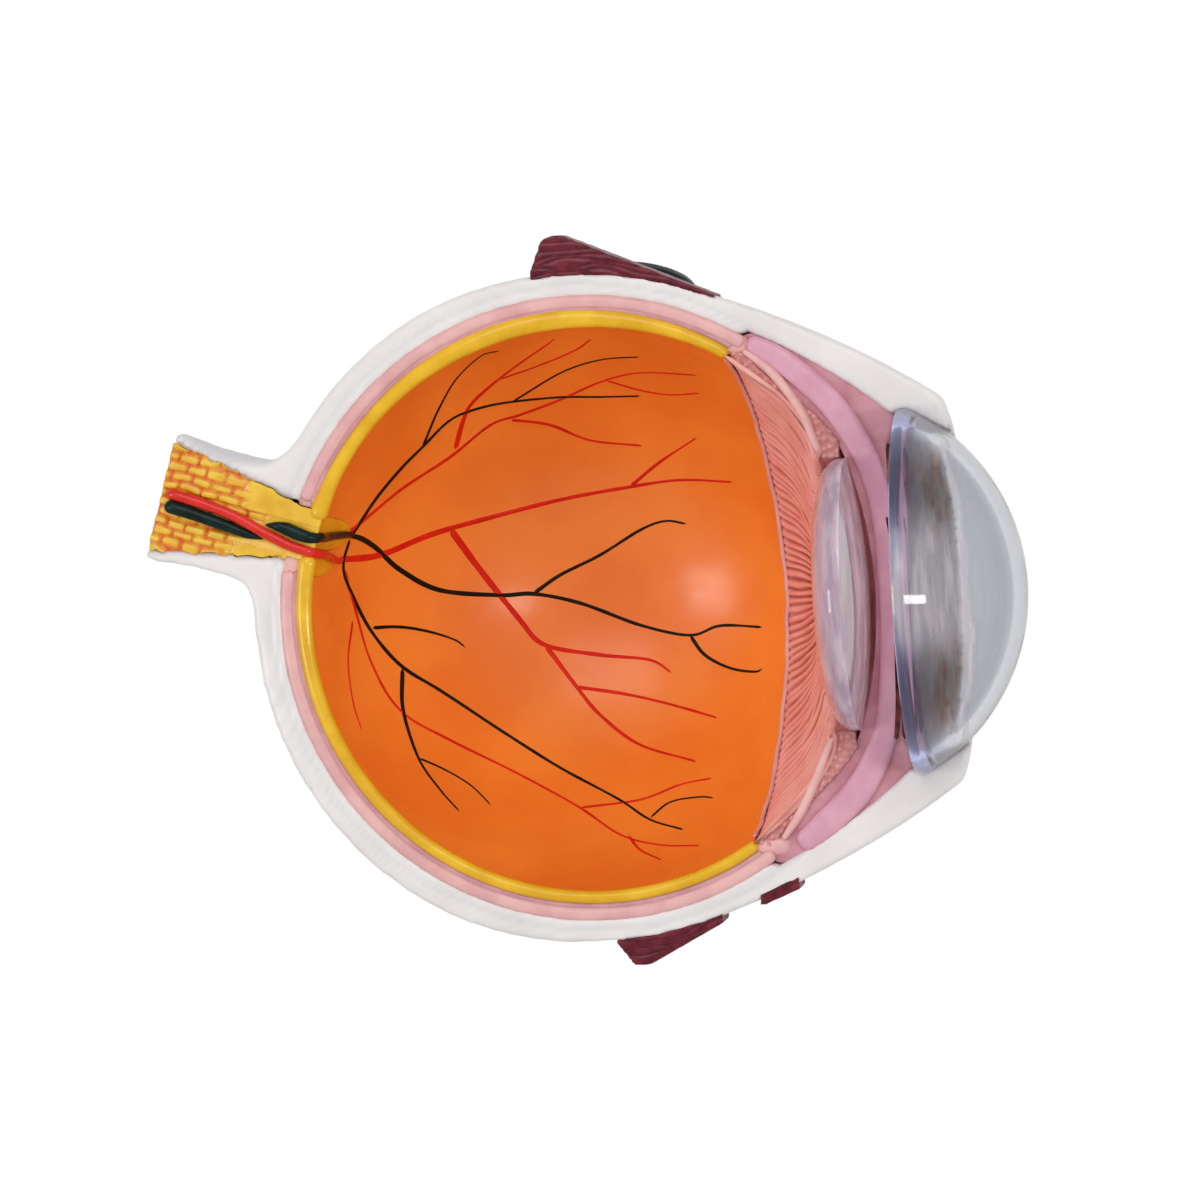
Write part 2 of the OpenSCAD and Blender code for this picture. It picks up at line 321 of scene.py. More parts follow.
@dataclass(frozen=True)
class IrisPaint:
    """Brown iris with fine radial fibres about the optical axis."""

    name: str = "iris_paint"
    dark: Colour = srgb(66, 40, 36)
    brown: Colour = srgb(150, 96, 80)
    rust: Colour = srgb(206, 148, 122)
    fibres: float = 26.0

    def make(self) -> bpy.types.Material:
        """Returns the material."""
        bench = NodeBench(self.name)
        parts = bench.add("ShaderNodeSeparateXYZ")
        bench.wire(bench.place, parts.inputs[0])
        radius = bench.math("POWER", bench.math("ADD", bench.math("POWER", parts.outputs[1], 2.0),
                                                bench.math("POWER", parts.outputs[2], 2.0)), 0.5)
        turn = bench.math("ARCTAN2", parts.outputs[2], parts.outputs[1])
        fan = bench.add("ShaderNodeCombineXYZ")
        bench.wire(bench.math("MULTIPLY", turn, self.fibres * MM), fan.inputs[0])
        bench.wire(bench.math("MULTIPLY", radius, 0.16), fan.inputs[1])
        streak = bench.noise(0.55, 4.0, fan.outputs[0])
        colour = bench.ramp(streak, [(0.36, self.dark), (0.52, self.brown), (0.7, self.rust)])
        rim = bench.spread(radius, 0.0, 1.0, 0.020, 0.027)
        colour = bench.mix(rim, colour, self.dark)
        bench.wire(colour, bench.shader.inputs["Base Color"])
        bench.wire(bench.spread(streak, 0.6, 0.8, 0.3, 0.7), bench.shader.inputs["Roughness"])
        bench.wire(bench.bump(streak, 0.25), bench.shader.inputs["Normal"])
        bench.set(Specular_IOR_Level=0.05)
        return bench.material


@dataclass(frozen=True)
class ClearResin:
    """Clear cast resin with flow waves, greyed towards its edges by painted shade.

    The tint deepens with the piece's "tint" attribute. Two more attributes carry painted light: a streaked
    milky white that is a painted highlight, and a brown painted where the iris shows through the resin.
    """

    name: str
    clear: Colour
    edge: Colour
    tint: Colour
    sheen_colour: Colour
    milk: float = 0.05
    painted_sheen: float = 0.4
    wave: float = 0.05
    brown: Colour = srgb(176, 128, 112)

    def make(self) -> bpy.types.Material:
        """Returns the material."""
        bench = NodeBench(self.name)
        facing = bench.add("ShaderNodeLayerWeight").outputs["Facing"]
        # Painted shade: the colour greys towards the grazing edges.
        colour = bench.mix(bench.spread(facing, 0.0, 1.0, 0.1, 0.85), self.clear, self.edge)
        colour = bench.mix(bench.mark("tint"), colour, self.tint)
        lanes = bench.add("ShaderNodeMapping")
        lanes.inputs["Scale"].default_value = (1.0, 0.09, 0.3)
        bench.wire(bench.place, lanes.inputs["Vector"])
        streak = bench.spread(bench.noise(1.6, 3.0, lanes.outputs[0]), 0.0, 1.0, 0.42, 0.62)
        # Painted brown, streaked, where the iris shows through the resin.
        colour = bench.mix(bench.mark("iris_show_through"), colour, bench.ramp(streak,
            [(0.2, self.brown), (0.8, self.clear)]))
        # Painted highlight: a streaked milky white that also lets less light through.
        painted_sheen = bench.math("MULTIPLY", bench.mark("painted_sheen"), bench.spread(streak, 0.55, 1.0))
        colour = bench.mix(painted_sheen, colour, self.sheen_colour)
        bench.wire(colour, bench.shader.inputs["Base Color"])
        bench.wire(bench.spread(painted_sheen, 1 - self.milk, 1 - self.milk - self.painted_sheen),
                   bench.shader.inputs["Transmission Weight"])
        bench.wire(bench.spread(bench.noise(7.0), 0.0, 0.05, 0.3, 0.7), bench.shader.inputs["Roughness"])
        bench.wire(bench.bump(bench.noise(9.0, 1.0), self.wave), bench.shader.inputs["Normal"])
        bench.set(IOR=1.49)
        return bench.material


# --------------------------------------------------------------------------------- modelling bench


def arc(centre: float, radius: float, first: float, last: float, count: int) -> Array:
    """Returns points of an arc about a centre on the axis, as (distance along it, radius).

    Args:
        centre: Place of the centre on the axis.
        radius: Radius of the arc.
        first: First angle from the axis in degrees.
        last: Last angle.
        count: Number of points.

    Returns:
        An array of count pairs.
    """
    turn = np.radians(np.linspace(first, last, count))
    return np.column_stack((centre + radius * np.cos(turn), radius * np.sin(turn)))


def eased(route: Route, step: float) -> tuple[Array, Array]:
    """Lays a smooth line through points, at an even step.

    Args:
        route: The points in mm.
        step: Distance between the new points in mm.

    Returns:
        The new points and, for each, its place among the old ones.
    """
    knots = np.array(route, float)
    padded = np.vstack((2 * knots[0] - knots[1], knots, 2 * knots[-1] - knots[-2]))
    places = np.linspace(0, len(knots) - 1, 40 * len(knots))
    cell = np.minimum(places.astype(int), len(knots) - 2)
    t = (places - cell)[:, None]
    p0, p1, p2, p3 = (padded[cell + k] for k in range(4))
    line = 0.5 * (2 * p1 + (p2 - p0) * t + (2 * p0 - 5 * p1 + 4 * p2 - p3) * t**2
                  + (3 * p1 - p0 - 3 * p2 + p3) * t**3)
    run = np.concatenate(([0], np.cumsum(np.linalg.norm(np.diff(line, axis=0), axis=1))))
    marks = np.linspace(0, run[-1], max(3, round(run[-1] / step)))
    points = np.column_stack([np.interp(marks, run, line[:, axis]) for axis in range(line.shape[1])])
    return points, np.interp(marks, run, places)


def upwards(points: Array) -> Array:
    """Returns the direction out of the cut face for each point."""
    return np.tile((0.0, 0.0, 1.0), (len(points), 1))


def along_nerve(x: Array, y: Array, turn: float) -> tuple[Array, Array]:
    """Gives places in the cut face along the nerve and across it.

    Args:
        x: Places along the optical axis.
        y: Places across it.
        turn: Direction of the nerve in degrees.

    Returns:
        Distances from the middle of the eyeball, and offsets to the nerve's upper side.
    """
    lean = math.radians(turn)
    return x * math.cos(lean) + y * math.sin(lean), x * math.sin(lean) - y * math.cos(lean)


def core_half_width(along: Array) -> Array:
    """Returns half the width of the nerve's core at distances along the nerve."""
    return 4.7 + 5.0 * np.clip((along - 56.6) / 25.8, 0, 1)


def depth_blend(deep: Array) -> Array:
    """Returns how far the ring's profile has turned from its cut form to its deep form."""
    return np.clip(deep * 1.25, 0, 1) ** 1.5


def inwards(points: Array) -> Array:
    """Returns the direction to the middle of the eyeball for each point."""
    return -points / np.linalg.norm(points, axis=1)[:, None]


def inwards_late(points: Array) -> Array:
    """Returns the direction out of the cut face, turning to the eyeball's middle below the face."""
    below = np.clip((-points[:, 2] - 0.5) / 4, 0, 1)[:, None]
    mixed = upwards(points) * (1 - below) + inwards(points) * below
    return mixed / np.linalg.norm(mixed, axis=1)[:, None]


class Bench:
    """Modelling calls that work on the scene through Blender's operators."""

    @staticmethod
    def take(piece: bpy.types.Object) -> None:
        """Makes a piece the only selected and active object."""
        bpy.ops.object.select_all(action="DESELECT")
        piece.select_set(True)
        bpy.context.view_layer.objects.active = piece

    @staticmethod
    def name(name: str) -> bpy.types.Object:
        """Names the new active object and its mesh, and returns it."""
        piece = bpy.context.active_object
        piece.name = piece.data.name = name
        return piece

    @staticmethod
    def places(piece: bpy.types.Object) -> Array:
        """Returns the vertices of a piece in mm."""
        flat = np.empty(3 * len(piece.data.vertices))
        piece.data.vertices.foreach_get("co", flat)
        return flat.reshape(-1, 3) / MM

    @staticmethod
    def move(piece: bpy.types.Object, places: Array) -> None:
        """Puts the vertices of a piece at places in mm."""
        piece.data.vertices.foreach_set("co", (places * MM).ravel())
        piece.data.update()

    @staticmethod
    def normals(piece: bpy.types.Object) -> Array:
        """Returns the normals at the vertices of a piece."""
        flat = np.empty(3 * len(piece.data.vertices))
        piece.data.vertices.foreach_get("normal", flat)
        return flat.reshape(-1, 3)

    @staticmethod
    def note(piece: bpy.types.Object, name: str, values: Array) -> None:
        """Stores a value for each vertex under a name."""
        layer = piece.data.attributes.new(name, "FLOAT", "POINT")
        layer.data.foreach_set("value", np.clip(values, 0, 1).astype(np.float32))

    @classmethod
    def grid(
        cls, name: str, cells: tuple[int, int], shape: Callable[[Array, Array], Array]
    ) -> bpy.types.Object:
        """Makes a closed piece from a grid that is wrapped into shape.

        Args:
            name: Name of the piece.
            cells: Cells along and across the grid.
            shape: Gives places in mm for shares from 0 to 1 along and across.

        Returns:
            The piece, with its seam merged, its ends closed and its faces outwards.
        """
        bpy.ops.object.select_all(action="DESELECT")
        bpy.ops.mesh.primitive_grid_add(x_subdivisions=cells[0], y_subdivisions=cells[1], size=1)
        piece = cls.name(name)
        flat = cls.places(piece) * MM + 0.5
        cls.move(piece, shape(flat[:, 0], flat[:, 1]))
        cls.close(piece)
        return piece

    @classmethod
    def close(cls, piece: bpy.types.Object, gap: float = 0.002) -> None:
        """Merges doubles, closes holes and turns the faces outwards.

        Args:
            piece: The piece.
            gap: Widest distance in mm between merged points.
        """
        cls.take(piece)
        bpy.ops.object.mode_set(mode="EDIT")
        bpy.ops.mesh.select_all(action="SELECT")
        bpy.ops.mesh.remove_doubles(threshold=gap * MM)
        bpy.ops.mesh.fill_holes(sides=0)
        bpy.ops.mesh.select_all(action="SELECT")
        bpy.ops.mesh.normals_make_consistent(inside=False)
        bpy.ops.object.mode_set(mode="OBJECT")
        bpy.ops.object.shade_smooth()

    @classmethod
    def turned(
        cls, name: str, outline: Array, steps: int, half: bool = True, top: float | None = None
    ) -> bpy.types.Object:
        """Turns an outline about the optical axis.

        Args:
            name: Name of the piece.
            outline: Points as (distance along the axis, radius) in mm, a closed loop for a half
                piece, or a line from axis to axis for a whole one.
            steps: Steps of the turn.
            half: Whether only the half below the cut face is made.
            top: Height in mm that the half is cut off at, or None.

        Returns:
            The closed piece.
        """
        bpy.ops.object.select_all(action="DESELECT")
        bpy.ops.mesh.primitive_circle_add(
            vertices=len(outline), radius=0.01, fill_type="NGON" if half else "NOTHING"
        )
        piece = cls.name(name)
        cls.move(piece, np.column_stack((outline, np.zeros(len(outline)))))
        bpy.ops.object.mode_set(mode="EDIT")
        if not half:
            cls.drop_edge(piece, len(outline) - 1, 0)
        bpy.ops.mesh.select_all(action="SELECT")
        bpy.ops.mesh.spin(
            steps=steps, angle=math.pi if half else 2 * math.pi, center=(0, 0, 0), axis=(1, 0, 0)
        )
        bpy.ops.object.mode_set(mode="OBJECT")
        if top is not None:
            cls.trim(piece, top)
        cls.close(piece)
        bpy.ops.object.shade_smooth_by_angle(angle=math.radians(38))
        return piece

    @staticmethod
    def drop_edge(piece: bpy.types.Object, first: int, last: int) -> None:
        """Removes the edge between two vertices of the piece in edit mode.

        Args:
            piece: The piece.
            first: Index of one end.
            last: Index of the other end.
        """
        mesh = bmesh.from_edit_mesh(piece.data)
        for edge in list(mesh.edges):
            if {edge.verts[0].index, edge.verts[1].index} == {first, last}:
                mesh.edges.remove(edge)
        bmesh.update_edit_mesh(piece.data)

    @classmethod
    def trim(cls, piece: bpy.types.Object, top: float) -> None:
        """Cuts off what stands above a height.

        Args:
            piece: The piece.
            top: The height in mm.
        """
        cls.take(piece)
        bpy.ops.object.mode_set(mode="EDIT")
        bpy.ops.mesh.select_all(action="SELECT")
        bpy.ops.mesh.bisect(
            plane_co=(0, 0, top * MM), plane_no=(0, 0, 1), use_fill=True, clear_outer=True
        )
        bpy.ops.object.mode_set(mode="OBJECT")

    @classmethod
    def bead(
        cls, name: str, route: Route, width: Sequence[float], height: Sequence[float],
        up: Callable[[Array], Array] = upwards, step: float = 0.5, sides: int = 12,
        fullness: float = 2.0,
    ) -> bpy.types.Object:
        """Lays a rounded bead along a route.

        Args:
            name: Name of the piece.
            route: Points along the middle of the bead in mm.
            width: Widths in mm at the points, or one for all.
            height: Heights in mm at the points, or one for all.
            up: Gives the direction of the bead's height.
            step: Distance in mm between its rings.
            sides: Number of its sides.
            fullness: 2 for an ellipse, more for a squarer bead.

        Returns:
            The bead, closed and rounded at both ends.
        """
        points, share = eased(route, step)
        if points.shape[1] == 2:
            points = np.column_stack((points, np.zeros(len(points))))
        run = np.concatenate(([0], np.cumsum(np.linalg.norm(np.diff(points, axis=0), axis=1))))
        knots = np.arange(len(route))
        wide = np.interp(share, knots, np.resize(width, len(route))) / 2
        tall = np.interp(share, knots, np.resize(height, len(route))) / 2
        blunt = np.minimum(1, np.minimum(run, run[-1] - run) / np.maximum(wide, 0.01))
        cap = np.sqrt(np.maximum(0, 1 - (1 - blunt) ** 2))
        along = np.gradient(points, axis=0)
        upward = up(points)
        side = np.cross(along, upward)
        side /= np.linalg.norm(side, axis=1)[:, None]
        rings = len(points) - 1

        def shape(u: Array, v: Array) -> Array:
            """Wraps the grid round the route."""
            ring = np.rint(u * rings).astype(int)
            turn = 2 * np.pi * v
            across, over = np.cos(turn), np.sin(turn)
            across = np.sign(across) * np.abs(across) ** (2 / fullness)
            over = np.sign(over) * np.abs(over) ** (2 / fullness)
            return (points[ring] + side[ring] * (across * wide[ring] * cap[ring])[:, None]
                    + upward[ring] * (over * tall[ring] * cap[ring])[:, None])

        return cls.grid(name, (rings, sides), shape)

    @classmethod
    def cast(
        cls, name: str, node: bpy.types.Object, pitch: float, melt: int = 2, swell: float = 0.0
    ) -> bpy.types.Object:
        """Casts a fine-grained copy of a frame node, with softly rounded edges.

        Args:
            name: Name of the piece.
            node: The frame node.
            pitch: Grain of the copy in mm.
            melt: Rounds of smoothing.
            swell: How far in mm the copy grows outwards, inside the node's own box.

        Returns:
            The copy.
        """
        piece = bpy.data.objects.new(name, node.data.copy())
        piece.data.name = name
        piece.data.materials.clear()
        bpy.context.scene.collection.objects.link(piece)
        cls.close(piece)
        grain = piece.modifiers.new("grain", "REMESH")
        grain.mode = "VOXEL"
        grain.voxel_size = pitch * MM
        soft = piece.modifiers.new("soft", "SMOOTH")
        soft.factor = 0.5
        soft.iterations = melt
        bpy.ops.object.modifier_apply(modifier=grain.name)
        bpy.ops.object.modifier_apply(modifier=soft.name)
        bpy.ops.object.shade_smooth()
        corners = np.array([tuple(vertex.co) for vertex in node.data.vertices]) / MM
        grown = cls.places(piece) + cls.normals(piece) * swell
        cls.move(piece, np.clip(grown, corners.min(0), corners.max(0)))
        return piece

    @classmethod
    def join(cls, pieces: Sequence[bpy.types.Object]) -> bpy.types.Object:
        """Joins pieces into the first one and returns it."""
        cls.take(pieces[0])
        for piece in pieces:
            piece.select_set(True)
        bpy.ops.object.join()
        return pieces[0]


def fit(
    piece: bpy.types.Object, finish: bpy.types.Material,
    replaced: Sequence[str] = (), body: Body = Body.SHELL,
) -> None:
    """Gives a piece its finish and its place in the frame, and reports it.

    Args:
        piece: The piece.
        finish: Its material.
        replaced: Frame nodes that it stands for.
        body: Body that it rides on.
    """
    piece.data.materials.clear()
    piece.data.materials.append(finish)
    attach(piece, body.value)
    if replaced:
        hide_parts(*replaced)
    LOG.info("%s: %d faces on %s", piece.name, len(piece.data.polygons), body.value)


def hash_noise(x: Array, y: Array, seed: float = 0.0) -> Array:
    """Returns smooth noise from -1 to 1 for places on a plane with a grain of 1.

    Args:
        x: First coordinates.
        y: Second coordinates.
        seed: Shifts the pattern.

    Returns:
        One value for each place.
    """
    def corner(i: Array, j: Array) -> Array:
        """Gives the value at a lattice point."""
        value = np.sin(i * 127.1 + j * 311.7 + seed * 74.7) * 43758.5453
        return 2 * (value - np.floor(value)) - 1

    i, j = np.floor(x), np.floor(y)
    fx, fy = x - i, y - j
    fx, fy = fx * fx * (3 - 2 * fx), fy * fy * (3 - 2 * fy)
    near = corner(i, j) * (1 - fx) + corner(i + 1, j) * fx
    far = corner(i, j + 1) * (1 - fx) + corner(i + 1, j + 1) * fx
    return near * (1 - fy) + far * fy


# ------------------------------------------------------------------------------------ the eye model


@dataclass
class WhiteShell:
    """The white shell with the nerve's sheath: soft ridges on its cut face and a thin inner lip."""

    inner_r: float = 57.6
    outer_r: float = 61.3
    nerve_turn: float = 180 - NERVE_TILT
    pitch: float = 0.9
    grown: float = 0.9
    wave_period: float = 3.4
    ridge: float = 0.1

    def build(self, nodes: dict[str, bpy.types.Object]) -> bpy.types.Object:
        """Casts the shell and works its cut face.

        Args:
            nodes: The frame's nodes.

        Returns:
            The shell.
        """
        piece = Bench.cast("white_shell", nodes["sclera_half_shell"], self.pitch, 5, 0.45)
        places = Bench.places(piece)
        x, _, z = places.T
        reach = np.linalg.norm(places, axis=1)
        outer = np.clip(reach - 60, 0, 1) * np.clip((65 - reach) / 3, 0, 1) * np.clip(-x / 30, 0, 1)
        places *= 1 + (self.grown * outer * (z > -55) / self.outer_r)[:, None]
        x, y, z = places.T.copy()
        on_face = np.clip((z + 1.6) / 1.2, 0, 1)
        radius = np.hypot(x, y)
        wobble = 0.35 * hash_noise(np.arctan2(y, x) * 9, radius * 0.2)
        depth = radius - self.inner_r + wobble
        lip = 0.42 * np.exp(-((radius - self.inner_r - 0.55) / 0.4) ** 2)
        waves = self.ridge * np.cos(2 * np.pi * depth / self.wave_period)
        waves = waves * np.clip(radius - self.inner_r - 0.9, 0, 1)
        beyond = np.clip((61.6 - radius) / 0.5, 0, 1) + 0.1 * (x > 20) * (radius > 61.6)
        places[:, 2] = z + on_face * (waves * beyond + lip - 0.25)
        # Darker in the wave troughs of the cut face.
        groove_dark_and_shade = on_face * np.clip(-waves / self.ridge, 0, 1) * 0.3 * beyond
        along, across = along_nerve(x, y, self.nerve_turn)
        core = core_half_width(along)
        sheath = on_face * (along > 56) * (np.abs(across) < 13)
        trough = sheath * np.clip(1 - (np.abs(across) - core - 0.9) / 0.5, 0, 1)
        fillet = np.sqrt(np.maximum(64 - np.clip(66.6 - along, 0, 8) ** 2, 0))
        side = 19 - fillet + np.clip((along - 74.5) / 7.9, 0, 1)
        share = np.clip((along - 62) / 20.4, 0, 1)
        bevel = 1.9 * np.sin(np.pi * share) ** 0.7
        slope = np.clip((along - 62) / 3, 0, 1) * (across > 0) * np.clip(bevel - (side - across), 0, 2.2)
        places[:, 2] -= 0.55 * trough + 1.7 * slope * np.clip(1 + z / 6, 0, 1)
        Bench.move(piece, places)
        # Also darker in the trough beside the core, and painted shade on the bevel along the sheath's upper
        # edge.
        groove_dark_and_shade = np.maximum(groove_dark_and_shade, np.maximum(0.45 * trough, 0.5 * np.clip(slope, 0, 1) * (z > -1)))
        Bench.note(piece, "groove", groove_dark_and_shade)
        return piece

    def dress(self, piece: bpy.types.Object) -> None:
        """Paints the shell white."""
        # The blue-grey wash darkens the grooves and paints shade on the sheath's bevel.
        paint = BrushedPaint("white_shell_paint", srgb(238, 233, 231), srgb(230, 225, 223), 14.0,
                             0.34, 0.03, 1.4, srgb(190, 189, 202), 0.12)
        fit(piece, paint.make(), ["sclera_half_shell"])


@dataclass
class WallLayers:
    """The pink vascular layer with its rib and lilac step, and the orange bowl with its bead."""

    pink_r: tuple[float, float] = (57.5, 54.8)
    bowl_r: tuple[float, float] = (54.65, 52.5)
    pink_end: float = 57.8
    bowl_end: float = 58.2
    forward: float = 6.4
    nerve_turn: float = 180 - NERVE_TILT
    crease: float = -0.7
    border_r: float = 52.3
    yellow_upper: tuple[float, ...] = (2.2, 2.6, 3.1, 3.5, 3.7, 3.7, 3.5, 3.1, 2.8, 2.7, 2.9, 3.7)
    yellow_lower: tuple[float, ...] = (2.3, 2.5, 2.6, 3.4)
    fillers: tuple[tuple[str, Route], ...] = (
        ("pink_filler_upper", ((27.2, 47.2, -1.7), (29.6, 46.6, -1.5), (33.0, 46.6, -1.7))),
        ("pink_filler_lower", ((27.2, -46.6, -1.7), (30.4, -45.6, -1.5), (35.0, -45.4, -1.7))),
    )
    pieces: dict[str, bpy.types.Object] = field(default_factory=dict)

    def side(self, radius: float, front: float, back: float, upper: bool) -> Route:
        """Gives the route of a bead along one side of the cut.

        Args:
            radius: Radius of the route in mm.
            front: Its front end in degrees from the axis.
            back: Its gap in degrees from the nerve's line.
            upper: Whether it is the upper side.

        Returns:
            Points in the cut face.
        """
        first = front if upper else 360 - front
        last = self.nerve_turn - back if upper else self.nerve_turn + back
        turns = np.radians(np.linspace(first, last, 24))
        return [(radius * math.cos(t), radius * math.sin(t), self.crease) for t in turns]

    def build(self) -> None:
        """Turns the two layers and lays their beads."""
        outer, inner = self.pink_r
        wall = np.vstack((arc(0, outer, self.pink_end, 180, 60),
                          arc(0, inner, 180, self.pink_end, 60)))
        self.pieces["pink_layer"] = Bench.turned("pink_layer", wall, 96, top=self.crease)
        outer, inner = self.bowl_r
        bowl = np.vstack((arc(0, outer, self.bowl_end + 0.6, 180, 60),
                          arc(0, inner, 180, self.bowl_end, 90)))
        self.pieces["orange_bowl"] = Bench.turned("orange_bowl", bowl, 128, top=self.crease)
        self.bring_forward(self.pieces["orange_bowl"])
        self.pieces["lilac_border"] = self.border()
        for upper, end in ((True, "upper"), (False, "lower")):
            self.lay(f"pink_rib_{end}", self.side(56.4, 55.8, 5.9 if upper else 7.4, upper),
                     [2.5], [2.0], fullness=2.6)
            self.lay(f"lilac_step_{end}", self.side(54.95, 57.4, 5.7 if upper else 7.2, upper),
                     [1.2], [1.4])
            swell = self.yellow_upper if upper else self.yellow_lower
            route = self.side(53.3, 57.4, 3.0 if upper else 3.8, upper)
            shares = np.linspace(0, 1, len(route))
            width = np.interp(shares, np.linspace(0, 1, len(swell)), swell)
            self.lay(f"yellow_bead_{end}", route, width, [2.5], sides=14)

    def lay(self, name: str, route: Route, width: Sequence[float], height: Sequence[float],
            **form: float) -> None:
        """Lays a bead and keeps it under its name.

        Args:
            name: Name of the bead.
            route: Points along its middle in mm.
            width: Its widths in mm.
            height: Its heights in mm.
            form: Its sides or fullness.
        """
        self.pieces[name] = Bench.bead(name, route, width, height, **form)

    @staticmethod
    def ripple(spin: Array) -> Array:
        """Returns the waver of the bowl's front edge in degrees."""
        return 0.35 * hash_noise(spin * 14, spin * 0)

    def border(self) -> bpy.types.Object:
        """Lays the thin lilac line along the bowl's front edge.

        Returns:
            The line.
        """
        spin = np.radians(np.linspace(-172, -8, 60))
        turn = np.radians(self.bowl_end - self.forward * np.sin(spin) ** 2 - self.ripple(spin))
        ring = self.border_r * np.sin(turn)
        route = np.column_stack((self.border_r * np.cos(turn), ring * np.cos(spin),
                                 ring * np.sin(spin)))
        return Bench.bead("lilac_border", route, [1.0], [0.7], inwards, 0.8, 10)

    def bring_forward(self, bowl: bpy.types.Object) -> None:
        """Slides the bowl's front edge along its own sphere, most in the deep middle.

        Args:
            bowl: The bowl.
        """
        places = Bench.places(bowl)
        radius = np.linalg.norm(places, axis=1)
        angle = np.degrees(np.arccos(places[:, 0] / radius))
        spin = np.arctan2(places[:, 2], places[:, 1])
        fade = np.clip((80 - angle) / 20, 0, 1)
        slide = (self.forward * np.sin(spin) ** 2 + self.ripple(spin)) * fade
        turn = np.radians(angle - slide)
        ring = radius * np.sin(turn)
        Bench.move(bowl, np.column_stack((radius * np.cos(turn), ring * np.cos(spin),
                                          ring * np.sin(spin))))

    def dress(self) -> None:
        """Paints the layers."""
        pink = BrushedPaint("salmon_paint", srgb(236, 184, 180), srgb(222, 166, 166), 8.0, 0.36, coat=0.1)
        lilac = BrushedPaint("lilac_paint", srgb(212, 160, 166), srgb(196, 142, 152), 6.0, 0.4)
        yellow = BrushedPaint("yellow_paint", srgb(240, 190, 32), srgb(226, 172, 14), 7.0, 0.28, coat=0.4)
        orange = BrushedPaint("orange_paint", srgb(252, 145, 50), srgb(244, 131, 40), 22.0, 0.34,
                              0.02, 0.8, coat=0.45, fleck=0.0, coat_rough=0.2)
        fit(self.pieces["pink_layer"], pink.make(), ["choroid_layer"])
        fit(self.pieces["orange_bowl"], orange.make(), ["retina_layer"])
        rib, step, bead = pink.make(), lilac.make(), yellow.make()
        fit(self.pieces["lilac_border"], rib)
        for name, route in self.fillers:
            fit(Bench.bead(name, route, [3.6], [2.2]), rib)
        for end in ("upper", "lower"):
            fit(self.pieces[f"pink_rib_{end}"], rib)
            fit(self.pieces[f"lilac_step_{end}"], step)
            fit(self.pieces[f"yellow_bead_{end}"], bead)


